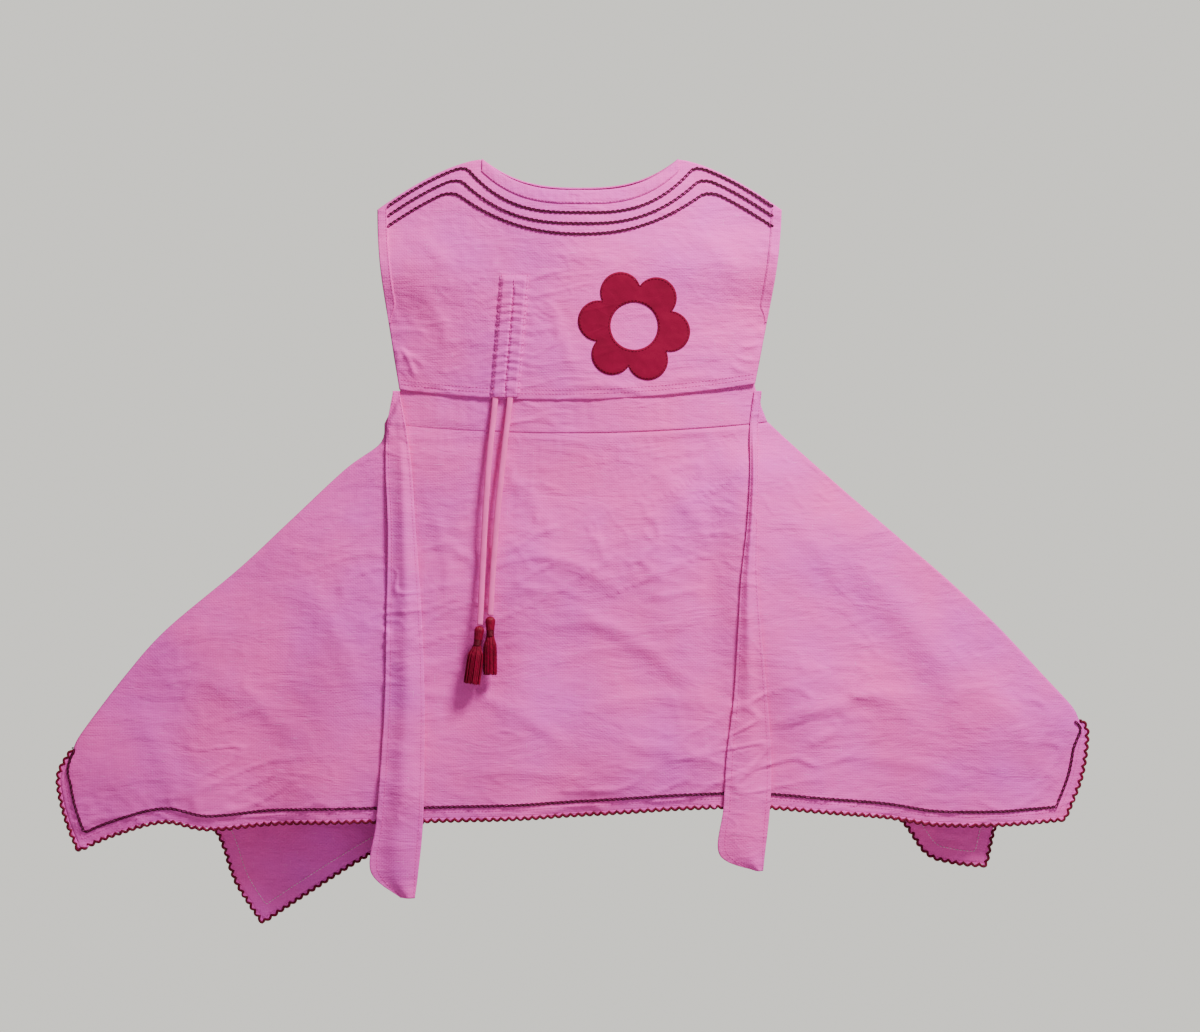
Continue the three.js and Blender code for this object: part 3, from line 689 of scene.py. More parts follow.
def casing_across(x, z):
    """How far across the drawcord casing a point lies, 0 to 1, and how far down it."""
    (top_x, top_z), (foot_x, foot_z) = CASING["top"], CASING["foot"]
    down = (top_z * MM - z) / ((top_z - foot_z) * MM)
    middle = mix(top_x, foot_x, down) * MM
    return (x - middle) / (CASING["width"] * MM) + 0.5, down


def bodice_relief(x, z, half):
    """Crumples, puckers and turned edges, outwards from the bodice's smooth shape."""
    seed = 11 if half == "front" else 31
    fine = cloth().crumple
    across = np.clip(np.abs(x - bodice_shift(z)) / bodice_half(z), 0, 1)
    calm = smooth((shoulder_z(x) - z) / (40 * MM)) * 0.8 + 0.2
    relief = fine * calm * (1.5 * ripple(x, z, 60 * MM, seed, 1.5, 0.4)
                            + 0.8 * crumple(x, z, 38 * MM, seed + 1, 2.6, 0.35)
                            + 0.4 * crumple(x, z, 18 * MM, seed + 3, 2.2, -0.5))
    if half == "front":
        away = np.hypot(x - FLOWER["centre"][0] * MM, z - FLOWER["centre"][1] * MM)
        relief = relief * (1 - 0.7 * smooth((62 * MM - away) / (16 * MM)))
        over, down = casing_across(x, z)
        beside = np.abs(over - 0.5) - 0.5
        relief = relief * (1 - 0.75 * smooth((0.3 - beside) / 0.3) * smooth((down + 0.1) / 0.1))
    relief = relief + 0.14 * fine * ripple(x, z, 5 * MM, seed + 2)
    side_run = smooth((-z - UNDERARM_DROP + 4 * MM) / (8 * MM))
    side = np.exp(-((1 - across) * HEM_HALF / (9 * MM)) ** 2)
    relief = relief + 0.5 * MM * side * side_run * np.sin(z / (3.1 * MM) + 2 * np.sin(z / (11 * MM)))
    if half == "front":
        for measures in BODICE_CREASES:
            relief = relief + crease(x, z, *measures)
        near = np.exp(-np.clip(beside, 0, None) * CASING["width"] * MM / (7 * MM))
        near = near * smooth((down + 0.03) / 0.06) * smooth((1.2 - down) / 0.1)
        slant = np.sign(over - 0.5) * x / (6 * MM)
        pulls = np.sin(z / (1.35 * MM) + 1.5 * np.sin(z / (7 * MM)) + slant)
        relief = relief + 0.32 * MM * near * pulls
    arm_edge = (1 - across) * SHOULDER_HALF
    above = smooth((z + UNDERARM_DROP + 3 * MM) / (6 * MM))
    in_arm = above * smooth((-z - SHOULDER_DROP + 8 * MM) / (6 * MM))
    return relief + 0.35 * MM * smooth((9.5 * MM - arm_edge) / (0.8 * MM)) * in_arm


def bodice_y(x, z, half, lift=0.0):
    """Where the bodice's cloth lies, moved outwards by lift."""
    fade = smooth((np.minimum(1 - np.abs(x - bodice_shift(z)) / bodice_half(z), 1)) / 0.02)
    depth = bodice_depth(x, z) + bodice_relief(x, z, half) * (0.25 + 0.75 * fade)
    return SIDE_SIGN[half] * (np.maximum(depth, 0.5 * MM) + lift)


# ---- shape of the waistband and skirt ----------------------------------------------------------
def place(points):
    return [(x * MM, -WAIST_DROP - down * MM) for x, down in points]


def side_line(band, fold, side):
    """x of a side over height, from the band down to the end of the skirt's side."""
    points = [(x * MM, z * MM) for x, z in band[:-1]] + place(fold) + place(side)[1:]
    points = np.array(points)
    return points[:, 1][::-1], points[:, 0][::-1]


LEFT_LINE = side_line(BAND_LEFT, LEFT_FOLD, LEFT_SIDE["front"][:3])
RIGHT_LINE = side_line(BAND_RIGHT, RIGHT_FOLD, RIGHT_SIDE["front"][:2])


def skirt_share(x, z):
    left, right = np.interp(z, *LEFT_LINE), np.interp(z, *RIGHT_LINE)
    return np.clip((x - left) / (right - left), 0, 1)


def waist_sag(share):
    """How far the waist seam hangs below its ends."""
    return WAIST_SAG * 4 * share * (1 - share)


def skirt_depth(x, z):
    down = smooth((-z - WAIST_DROP) / SKIRT_LENGTH)
    full = mix(BODICE_DEPTH - LAYER_STEP, HEM_DEPTH, down)
    return SEAM_HALF + (full - SEAM_HALF) * np.sin(np.pi * skirt_share(x, z))


# Creases of the skirt's front as (start, end, width, height), in millimetres.
SKIRT_CREASES = [
    ((-60, -330), (40, -372), 7, 1.7), ((-20, -380), (100, -455), 8, 1.8),
    ((-95, -455), (-10, -500), 6, 1.5), ((0, -470), (118, -462), 7, 1.5),
    ((-95, -520), (30, -540), 6, 1.2), ((40, -500), (130, -520), 6, 1.2),
    ((165, -478), (300, -458), 7, 1.8), ((190, -440), (290, -480), 9, 1.3),
    ((170, -300), (230, -380), 9, 1.4), ((-60, -270), (-20, -330), 7, 1.1),
    ((60, -262), (110, -330), 8, 1.2), ((-240, -360), (-190, -450), 11, 1.6),
    ((-330, -440), (-230, -500), 11, 1.5), ((-380, -470), (-340, -560), 10, 1.2),
    ((250, -360), (330, -500), 13, 1.7), ((340, -440), (400, -540), 11, 1.3),
    ((-130, -290), (-110, -380), 6, 1.0), ((-40, -400), (60, -405), 5, 1.1),
    ((-30, -430), (90, -418), 5, 1.0), ((200, -510), (330, -530), 6, 1.0),
]


def skirt_folds(x, z, half):
    """Long folds that fan out from the waist."""
    share = skirt_share(x, z)
    down = smooth((-z - WAIST_DROP - 20 * MM) / (0.9 * SKIRT_LENGTH))
    depth = cloth().fold * (1.0 if half == "front" else 1.7)
    if half == "front":
        wave = (0.5 * np.sin(TAU * (3.1 * share + 0.12)) + 0.45 * np.sin(TAU * (6.3 * share + 0.55))
                + 0.25 * np.sin(TAU * (10.2 * share + 0.8 + 0.2 * z / 0.1)))
    else:
        wave = (0.6 * np.sin(TAU * (4.2 * share + 0.3)) + 0.5 * np.sin(TAU * (7.4 * share + 0.1))
                + 0.2 * np.sin(TAU * (12.5 * share + 0.6)))
    sides = smooth(share / 0.1) * smooth((1 - share) / 0.1)
    folds = depth * down ** 1.2 * wave * sides
    if half == "front":
        pressed = np.exp(-((x + 82 * MM) / (24 * MM)) ** 2 - ((z + 428 * MM) / (38 * MM)) ** 2)
        folds = mix(folds, np.minimum(folds, 0) - 1 * MM, pressed)
        ridge = smooth((x - 108 * MM) / (34 * MM)) * (1 - smooth((x - 143 * MM) / (90 * MM)))
        run = smooth((-z - 236 * MM) / (34 * MM)) * (1 - smooth((-z - 380 * MM) / (120 * MM)))
        folds = folds + 7 * MM * ridge * run
    return folds


def skirt_relief(x, z, half):
    seed = 71 if half == "front" else 91
    fine = cloth().crumple
    share = skirt_share(x, z)
    edge = smooth(np.minimum(share, 1 - share) / 0.02) * 0.8 + 0.2
    below = -z - WAIST_DROP - waist_sag(share)
    relief = fine * (2.6 * ripple(x, z, 80 * MM, seed, 1.4, 0.3)
                     + 1.8 * crumple(x, z, 46 * MM, seed + 1, 2.8, 0.3)
                     + 0.9 * crumple(x, z, 24 * MM, seed + 3, 2.4, -0.2)
                     + 0.5 * crumple(x, z, 13 * MM, seed + 5, 1.8, 0.5))
    relief = relief + 0.13 * fine * ripple(x, z, 5 * MM, seed + 2)
    pucker = np.exp(-np.clip(below, 0, None) / (9 * MM)) * np.where(below > -1 * MM, 1, 0)
    relief = relief + 0.35 * MM * pucker * ripple(x, z * 0.15, 4 * MM, seed + 4)
    if half == "front":
        for measures in SKIRT_CREASES:
            relief = relief + crease(x, z, *measures)
    return relief * edge


def skirt_y(x, z, half, lift=0.0):
    share = skirt_share(x, z)
    below = -z - WAIST_DROP - waist_sag(share)
    tuck = 1.5 * MM * smooth((1.6 * MM - below) / (2.4 * MM))
    relief = skirt_relief(x, z, half) * smooth((below - 1.5 * MM) / (9 * MM))
    depth = skirt_depth(x, z) + skirt_folds(x, z, half) + relief - tuck
    return SIDE_SIGN[half] * (np.maximum(depth, 0.5 * MM) + lift)


def waist_seam_z(share):
    ends = mix(-WAIST_DROP - 1 * MM, -WAIST_DROP + 1 * MM, share)
    return ends - waist_sag(share)


def skirt_grid(half, columns, rows):
    """x and z of the skirt's cloth, as a patch between seam, side folds, sides and hem."""
    fold_rows = round(rows * FOLD_SHARE[half])
    sides = []
    for fold, side in ((LEFT_FOLD, LEFT_SIDE[half]), (RIGHT_FOLD, RIGHT_SIDE[half])):
        upper = spline(place(fold), fold_rows + 1)
        lower = spline(place(side), rows - fold_rows + 1)
        sides.append(np.vstack([upper, lower[1:]]))
    u, v = shares(columns, rows)
    top = np.stack([mix(LEFT_FOLD[0][0], RIGHT_FOLD[0][0], u[0]) * MM, waist_seam_z(u[0])], -1)
    hem = spline(place(HEM[half]), columns + 1)
    u, v = u[..., None], v[..., None]
    corners = mix(mix(top[0], top[-1], u), mix(hem[0], hem[-1], u), v)
    grid = (mix(sides[0][:, None], sides[1][:, None], u) + mix(top[None], hem[None], v) - corners)
    return grid[..., 0], grid[..., 1]


def edge_parts(half, step):
    """The free edge of one half of the skirt as its left side, hem and right side."""
    parts = [place(LEFT_SIDE[half]), place(HEM[half]), place(RIGHT_SIDE[half])[::-1]]
    lines = []
    for part in parts:
        rough = spline(part, 200)
        lines.append(respace(rough, max(8, round(length_of(rough) / step))))
    return lines


def skirt_edge(half):
    """The whole free edge, from the left fold round to the right fold."""
    left, hem, right = edge_parts(half, 0.8 * MM)
    return np.vstack([left, hem[1:], right[1:]])


def beside(line, distance):
    """A flat line moved sideways, to its left when seen from the front."""
    ahead = unit(np.gradient(line, axis=0))
    return line + np.stack([-ahead[:, 1], ahead[:, 0]], -1) * distance


def meet(first, second):
    """Two flat lines cut back to where they cross, and joined there."""
    gap = np.linalg.norm(first[:, None] - second[None], axis=2)
    i, j = np.unravel_index(np.argmin(gap), gap.shape)
    return np.vstack([first[:max(i, 1)], second[j + 1:]])


def inset_edge(half, distance):
    """A line inside the skirt's free edge, with a clean turn at each corner."""
    left, hem, right = edge_parts(half, 1 * MM)
    taper = 0.12 + 0.88 * smooth(np.arange(len(left)) * MM / (34 * MM))
    left = beside(left, distance * taper[:, None])
    taper = 0.3 + 0.7 * smooth(np.arange(len(right))[::-1] * MM / (30 * MM))
    right = beside(right, distance * taper[:, None])
    return meet(meet(left, beside(hem, distance)), right)


# ---- thread work by geometry nodes -------------------------------------------------------------
class Growth(Nodes):
    """The nodes of one new geometry tree, which works on lines of points."""

    def __init__(self, name, *sizes, seeded=False):
        self.tree = bpy.data.node_groups.new(name, "GeometryNodeTree")
        sockets = {"Geometry": "Geometry"} | {size: "Float" for size in sizes}
        sockets |= {"Seed": "Int"} if seeded else {}
        sockets["Material"] = "Material"
        face = self.tree.interface
        for label, kind in sockets.items():
            face.new_socket(label, in_out="INPUT", socket_type=f"NodeSocket{kind}")
        face.new_socket("Geometry", in_out="OUTPUT", socket_type="NodeSocketGeometry")
        self.given = self.add("NodeGroupInput").outputs
        inputs = {"Mesh": self.given["Geometry"]}
        self.line = self.add("GeometryNodeMeshToCurve", inputs).outputs["Curve"]

    def lie(self):
        """The direction that was stored with each point."""
        return self.add("GeometryNodeInputNamedAttribute", {"Name": "lie"},
                        data_type="FLOAT_VECTOR").outputs["Attribute"]

    def along(self, measure):
        return self.add("GeometryNodeSplineParameter").outputs[measure]

    def moved(self, direction, reach):
        """The lines with each point moved by reach times direction."""
        offset = self.add("ShaderNodeVectorMath", {0: direction, "Scale": reach},
                          operation="SCALE").outputs[0]
        return self.add("GeometryNodeSetPosition",
                        {"Geometry": self.line, "Offset": offset}).outputs["Geometry"]

    def thread(self, curve, sides):
        """Thread laid along curves."""
        inputs = {"Resolution": sides, "Radius": self.given["Thread"]}
        profile = self.add("GeometryNodeCurvePrimitiveCircle", inputs).outputs["Curve"]
        inputs = {"Curve": curve, "Profile Curve": profile, "Fill Caps": True}
        return self.add("GeometryNodeCurveToMesh", inputs).outputs["Mesh"]

    def result(self, geometry):
        """Ends the tree with plain meshes in the given material."""
        real = self.add("GeometryNodeRealizeInstances", {"Geometry": geometry}).outputs[0]
        inputs = {"Geometry": real, "Material": self.given["Material"]}
        painted = self.add("GeometryNodeSetMaterial", inputs).outputs["Geometry"]
        self.add("NodeGroupOutput", {"Geometry": painted})
        return self.tree


LINK_SLANT, LINK_OVERLAP = 0.26, 1.14
CHAIN_LIFT = 0.75 * MM
STITCH_SHARE = 0.62


@made_once("node_groups")
def repeat_tree(name):
    """A node tree that lays chain links or straight stitches along a line of points."""
    g = Growth(name, "Pitch", "Length", "Width", "Thread")
    if name == "chain_row":
        one = g.add("GeometryNodeCurvePrimitiveCircle", {"Resolution": 10, "Radius": 0.5})
    else:
        one = g.add("GeometryNodeCurvePrimitiveLine", {"Start": (-0.5, 0, 0), "End": (0.5, 0, 0)})
    scale = g.add("ShaderNodeCombineXYZ", {"X": g.given["Length"], "Y": g.given["Width"], "Z": 1.0})
    slant = LINK_SLANT if name == "chain_row" else 0
    shape = g.add("GeometryNodeTransform", {"Geometry": one.outputs["Curve"],
                  "Scale": scale.outputs[0], "Rotation": (0, 0, slant)}).outputs["Geometry"]
    even = g.add("GeometryNodeResampleCurve", {"Curve": g.line, "Length": g.given["Pitch"]},
                 mode="LENGTH").outputs["Curve"]
    ahead = g.add("GeometryNodeInputTangent").outputs[0]
    turn = g.add("FunctionNodeAxesToRotation", {"Primary Axis": ahead, "Secondary Axis": g.lie()},
                 primary_axis="X", secondary_axis="Z").outputs["Rotation"]
    placed = g.add("GeometryNodeInstanceOnPoints", {"Points": even, "Rotation": turn,
                   "Instance": g.thread(shape, 5)}).outputs["Instances"]
    return g.result(placed)


@made_once("node_groups")
def thread_tree(name):
    """A node tree that turns hanging lines into threads that wander towards their ends."""
    g = Growth(name, "Thread", "Wander", seeded=True)
    noise = g.add("ShaderNodeTexNoise", {"W": g.given["Seed"], "Scale": 90.0, "Detail": 1.0},
                  noise_dimensions="4D").outputs["Color"]
    centred = g.add("ShaderNodeVectorMath", {0: noise, 1: (0.5, 0.5, 0.5)},
                    operation="SUBTRACT").outputs[0]
    grown = g.math("MULTIPLY", g.along("Factor"), g.given["Wander"])
    return g.result(g.thread(g.moved(centred, grown), 4))


@made_once("node_groups")
def edging_tree(name):
    """A node tree that runs a thread along an edge in scallops."""
    g = Growth(name, "Pitch", "Depth", "Thread")
    turns = g.math("DIVIDE", g.along("Length"), g.given["Pitch"])
    wave = g.math("ABSOLUTE", g.math("SINE", g.math("MULTIPLY", turns, math.pi)))
    return g.result(g.thread(g.moved(g.lie(), g.math("MULTIPLY", wave, g.given["Depth"])), 6))


def evaluate(name, carrier, tree, **inputs):
    """Runs a node tree on an object and keeps its result as a plain mesh."""
    bpy.context.scene.collection.objects.link(carrier)
    modifier = carrier.modifiers.new("grow", "NODES")
    modifier.node_group = tree
    for socket in tree.interface.items_tree:
        if socket.in_out == "INPUT" and socket.name in inputs:
            modifier[socket.identifier] = inputs[socket.name]
    seen = carrier.evaluated_get(bpy.context.evaluated_depsgraph_get())
    result = bpy.data.meshes.new_from_object(seen)
    result.name = name
    carrier.modifiers.remove(modifier)
    bpy.data.objects.remove(carrier)
    result.shade_smooth()
    piece = bpy.data.objects.new(name, result)
    bpy.context.scene.collection.objects.link(piece)
    return piece


def grow(name, points, lie, tree, **inputs):
    """Runs a node tree along a line of points that faces lie."""
    mesh = bpy.data.meshes.new(name + "_line")
    edges = [(i, i + 1) for i in range(len(points) - 1)]
    mesh.from_pydata(np.asarray(points, float).tolist(), edges, [])
    attribute = mesh.attributes.new("lie", "FLOAT_VECTOR", "POINT")
    attribute.data.foreach_set("vector", np.asarray(lie, np.float32).ravel())
    return evaluate(name, bpy.data.objects.new(name + "_line", mesh), tree, **inputs)


def lying(line, surface, half, lift):
    """A flat line laid on a surface, with the direction that it faces at each point."""
    x, z = line[:, 0], line[:, 1]
    d = 0.6 * MM
    y = surface(x, z, half, lift)
    slope_x = (surface(x + d, z, half, lift) - surface(x - d, z, half, lift)) / (2 * d)
    slope_z = (surface(x, z + d, half, lift) - surface(x, z - d, half, lift)) / (2 * d)
    normal = unit(np.stack([-slope_x, np.ones_like(x), -slope_z], -1) * SIDE_SIGN[half])
    return np.stack([x, y, z], -1), normal


def chain_row(name, line, surface, half):
    """A row of chain stitches along a flat line on a surface."""
    t = trim()
    line = respace(line, max(20, round(length_of(line) / (1.2 * MM))))
    points, lie = lying(line, surface, half, cloth().thickness / 2 + CHAIN_LIFT)
    return grow(name, points, lie, repeat_tree("chain_row"), Pitch=t.chain_pitch,
                Length=t.chain_pitch * LINK_OVERLAP, Width=t.chain_width, Thread=t.thread,
                Material=maroon_thread())


def stitches(name, points, lie, thread=0.2 * MM):
    """A row of small topstitches along points that face lie."""
    t = trim()
    return grow(name, points, lie, repeat_tree("stitch_row"), Pitch=t.stitch,
                Length=t.stitch * STITCH_SHARE, Width=1.0, Thread=thread, Material=pink_thread())


def stitch_row(name, line, surface, half, lift=0.12 * MM, thread=0.2 * MM):
    """A row of small topstitches along a flat line on a surface."""
    line = respace(line, max(12, round(length_of(line) / (1.5 * MM))))
    return stitches(name, *lying(line, surface, half, cloth().thickness / 2 + lift), thread)


# ---- the stage ---------------------------------------------------------------------------------
# Each lamp's name, place, energy in watts, breadth and tint.
LAMPS = [("key_light", (0.72, -0.86, 1.1), 65, 0.45, (1, 0.985, 0.96)),
         ("fill_light", (0.6, -2.2, -0.75), 10, 1.4, (0.97, 0.98, 1)),
         ("back_light", (0.9, 2.3, 1.0), 34, 1.2, (1, 1, 1))]
LIT_BY_WORLD, SEEN_WORLD = 0.43, 1.75
CAMERA_PLACE, CAMERA_LENS, CAMERA_SENSOR = (0.017, -2.015, -0.305), 70.6, 36
FLOOR_REACH, FLOOR_BELOW = 2.0, 0.85


def lamp(aim, name, place_at, energy, breadth, tint):
    light = bpy.data.lights.new(name, "AREA")
    light.energy, light.size, light.color = energy, breadth, tint
    holder = bpy.data.objects.new(name, light)
    holder.location = place_at
    holder.rotation_euler = (Vector(aim) - Vector(place_at)).to_track_quat("-Z", "Y").to_euler()
    bpy.context.scene.collection.objects.link(holder)


class DRESS_OT_stage(bpy.types.Operator):
    """Make the floor, the soft studio light and the camera"""
    bl_idname = "dress.stage"
    bl_label = "Stage"

    def execute(self, context):
        low, high = Vector(CAD_BOX[0]), Vector(CAD_BOX[1])
        reach, level = FLOOR_REACH, low.z - FLOOR_BELOW
        corners = [(-reach, -reach, level), (reach, -reach, level), (reach, reach, level),
                   (-reach, reach, level)]
        floor = new_mesh("floor", corners, [(0, 1, 2, 3)])
        s = Shader("floor_paint")
        tone = s.noise(s.place(), 1.5, 4.0)
        s.set(Base_Color=s.blend(tone, shade(colours().floor, 0.97), shade(colours().floor, 1.03)),
              Roughness=0.9)
        floor.data.materials.append(s.material)
        world = bpy.data.worlds.new("studio")
        world.use_nodes = True
        background = world.node_tree.nodes["Background"]
        background.inputs["Color"].default_value = (*colours().floor, 1)
        seen = world.node_tree.nodes.new("ShaderNodeLightPath").outputs["Is Camera Ray"]
        strength = world.node_tree.nodes.new("ShaderNodeMapRange")
        strength.inputs["To Min"].default_value = LIT_BY_WORLD
        strength.inputs["To Max"].default_value = SEEN_WORLD
        world.node_tree.links.new(seen, strength.inputs["Value"])
        world.node_tree.links.new(strength.outputs["Result"], background.inputs["Strength"])
        context.scene.world = world
        middle = (low + high) / 2
        aim = (middle.x, 0, middle.z + 0.05)
        for measures in LAMPS:
            lamp(aim, *measures)
        lens = bpy.data.cameras.new("camera")
        lens.lens, lens.sensor_width = CAMERA_LENS, CAMERA_SENSOR
        camera = bpy.data.objects.new("camera", lens)
        camera.location = CAMERA_PLACE
        camera.rotation_euler = (math.pi / 2, 0, 0)
        context.scene.collection.objects.link(camera)
        context.scene.camera = camera
        return {"FINISHED"}


# ---- drawcord and tassels ----------------------------------------------------------------------
CORD_WIDE, CORD_THICK, CORD_PRESSED = 5 * MM, 2.6 * MM, 1 * MM
CORD_REST = 1.75 * MM
CAD_CLOTH = 1.2 * MM
TASSEL_LEAN = {"left": 8, "right": 0}
HEAD_TALL, TIE_TALL, THREAD_TALL = 11 * MM, 5 * MM, 34 * MM
HEAD_RADIUS, TIE_RADIUS = 4 * MM, 3.4 * MM
FOOT_RADIUS = {"left": 8 * MM, "right": 6.8 * MM}
SEAM_GAP = 0.5 * MM
WRAPS = 6


def leg_points(leg):
    """The cord's route in space."""
    points = []
    for x, z, *away in leg:
        x, z = x * MM, z * MM
        if away:
            y = -(skirt_depth(x, z) + CAD_CLOTH / 2 + away[0] * MM)
        else:
            y = -(bodice_depth(x, z) + CORD_REST)
        points.append((x, float(y), z))
    return np.array(points)


def tassel_frame(hand, end):
    """Turns points measured down from the cord's end into the tassel's place."""
    lean = math.radians(TASSEL_LEAN[hand])
    c, s = math.cos(lean), math.sin(lean)

    def set_down(points):
        p = np.asarray(points, float)
        x = p[:, 0] * c + p[:, 2] * s
        z = -p[:, 0] * s + p[:, 2] * c
        return np.stack([x, p[:, 1], z], -1) + end
    return set_down


def turned(profile, sides, ridge=0.0, ridges=0, twist=0.0):
    """A closed round body from its (radius, height) profile, with shallow twisted ridges."""
    profile = np.asarray(profile, float)
    angle = np.arange(sides) * TAU / sides
    rows = len(profile)
    climb = np.linspace(0, 1, rows)
    points = []
    for (radius, height), t in zip(profile, climb):
        r = radius * (1 + ridge * np.cos(ridges * angle + twist * t * TAU))
        level = np.full(sides, height)
        points.append(np.stack([r * np.cos(angle), r * np.sin(angle), level], -1))
    faces = list(band_faces(rows, sides))
    faces.append(tuple(range(sides - 1, -1, -1)))
    faces.append(tuple(range((rows - 1) * sides, rows * sides)))
    return np.vstack(points), faces


GOLDEN_TURN = 2.39996  # spreads threads evenly over a round bunch
THREAD_SEED = {"left": (7, 3), "right": (8, 5)}


def tassel_threads(hand, set_down, top, red):
    """The bunch of cut threads below the tie."""
    spread_seed, wander_seed = THREAD_SEED[hand]
    random = np.random.default_rng(spread_seed)
    count, steps = trim().tassel_threads, 9
    points, edges = [], []
    for k in range(count):
        share = math.sqrt((k + 0.5) / count)
        angle = k * GOLDEN_TURN + random.uniform(-0.3, 0.3)
        start = share * (TIE_RADIUS - 0.7 * MM)
        foot = share * (FOOT_RADIUS[hand] - 0.9 * MM) * random.uniform(0.86, 1.0)
        tall = THREAD_TALL * random.uniform(0.90, 0.985)
        for i in range(steps):
            t = i / (steps - 1)
            radius = mix(start, foot, smooth(np.array(t * 3.2)) * 0.94 + 0.06 * t)
            points.append((radius * math.cos(angle), 0.8 * radius * math.sin(angle),
                           top - t * tall))
            if i:
                edges.append((len(points) - 2, len(points) - 1))
    mesh = bpy.data.meshes.new("threads_line")
    mesh.from_pydata(set_down(points).tolist(), edges, [])
    carrier = bpy.data.objects.new("threads_line", mesh)
    return evaluate(f"tassel_{hand}_fringe", carrier, thread_tree("tassel_threads"),
                    Thread=0.52 * MM, Wander=0.8 * MM, Seed=wander_seed,
                    Material=red)


def tassel(hand, end):
    """Head, bound neck and threads of one tassel; returns its pieces."""
    red = threaded("tassel_red", colours().tassel, 0.5, 0.9 * MM)
    dark = threaded("tassel_bound", shade(colours().tassel, 0.6), 0.5, 0.9 * MM)
    body = f"tassel_{hand}"
    set_down = tassel_frame(hand, end)
    top = -SEAM_GAP
    arc = np.linspace(0, 1, 9)
    profile = [(HEAD_RADIUS * math.sin(t * math.pi / 2) * 0.98 + 0.1 * MM,
                top - HEAD_RADIUS * (1 - math.cos(t * math.pi / 2))) for t in arc]
    profile += [(mix(HEAD_RADIUS, TIE_RADIUS, smooth(np.array(t))) * 0.98,
                 top - HEAD_RADIUS - t * (HEAD_TALL - HEAD_RADIUS + 2 * SEAM_GAP)) for t in arc[1:]]
    points, faces = turned(profile[::-1], 60, 0.055, 15, 0.12)
    head = new_mesh(f"tassel_{hand}_knob", set_down(points), faces)
    finish_piece(head, red, body, f"tassel_{hand}_head", slot="tassel_thread")
    tie_top = -HEAD_TALL - 2 * SEAM_GAP
    ring = [(TIE_RADIUS - 0.32 * MM * (1 - abs(math.sin(math.pi * t))), tie_top - t * TIE_TALL / WRAPS)
            for t in (i / 6 for i in range(WRAPS * 6 + 1))]
    points, faces = turned(ring[::-1], 36)
    tie = new_mesh(f"tassel_{hand}_binding", set_down(points), faces)
    finish_piece(tie, dark, body, f"tassel_{hand}_tie", slot="tassel_thread")
    fringe = tassel_threads(hand, set_down, tie_top - TIE_TALL + 0.4 * MM, red)
    finish_piece(fringe, red, body, f"tassel_{hand}_threads", slot="tassel_thread")
    return [head, tie, fringe]


class DRESS_OT_drawcord(bpy.types.Operator):
    """Make the drawcord's two legs and their tassels"""
    bl_idname = "dress.drawcord"
    bl_label = "Drawcord and tassels"

    def execute(self, context):
        for hand, leg in (("left", LEFT_LEG), ("right", RIGHT_LEG)):
            line = spline(leg_points(leg), 150)
            body = f"drawcord_{hand}"
            free = smooth((CASING["foot"][1] * MM - line[:, 2]) / (10 * MM))
            thick = mix(CORD_PRESSED, CORD_THICK, free)
            piece = tube(f"drawcord_{hand}_leg", line, CORD_WIDE, thick)
            finish_piece(piece, cord_cloth(), body, f"drawcord_{hand}", slot="cord")
            hung = tassel(hand, line[-1])
        bend = tube("drawcord_bend", spline(leg_points(BEND), 80), CORD_WIDE, CORD_PRESSED)
        finish_piece(bend, cord_cloth(), "dress", "drawcord_turn", slot="cord")
        return {"FINISHED"}


# ---- bodice ------------------------------------------------------------------------------------
class DRESS_OT_bodice(bpy.types.Operator):
    """Make the front and back of the bodice"""
    bl_idname = "dress.bodice"
    bl_label = "Bodice"

    def execute(self, context):
        fine = cloth().fineness
        for half in HALVES:
            across, down = shares(*(round(count * fine) for count in BODICE_SQUARES))
            x, z = bodice_place(2 * across - 1, down, half)
            grid = np.stack([x, bodice_y(x, z, half), z], -1)
            piece = cloth_piece(f"bodice_{half}_cloth", grid, SIDE_SIGN[half], cloth().thickness)
            finish_piece(piece, pink_cloth(), "dress", f"bodice_{half}")
        self.topstitch()
        return {"FINISHED"}

    def topstitch(self):
        """Two rows of stitches above the front and back hem."""
        for half in HALVES:
            rows = []
            u = np.linspace(-0.985, 0.985, 160)
            x, z = bodice_place(u, np.ones_like(u), half)
            middle, clear = CASING["foot"][0] * MM, (CASING["width"] / 2 + 1) * MM
            beside_casing = [x < middle - clear, x > middle + clear]
            runs = beside_casing if half == "front" else [slice(None)]
            for inset in (5 * MM, 8.5 * MM):
                for run in runs:
                    line = np.stack([x[run], z[run] + inset], -1)
                    rows.append(stitch_row(f"hem_stitch_{half}_{inset}", line, bodice_y, half))
            piece = join(f"bodice_{half}_hem_stitches", rows)
            finish_piece(piece, pink_thread(), "dress")


# ---- trim of the neck and armholes -------------------------------------------------------------
BINDING, FACING = 11 * MM, 9 * MM


def neck_line(half, count=200):
    x = np.linspace(-NECK_HALF, NECK_HALF, count)
    return respace(np.stack([x, neckline_z(x, NECK_DROP[half])], -1), count)


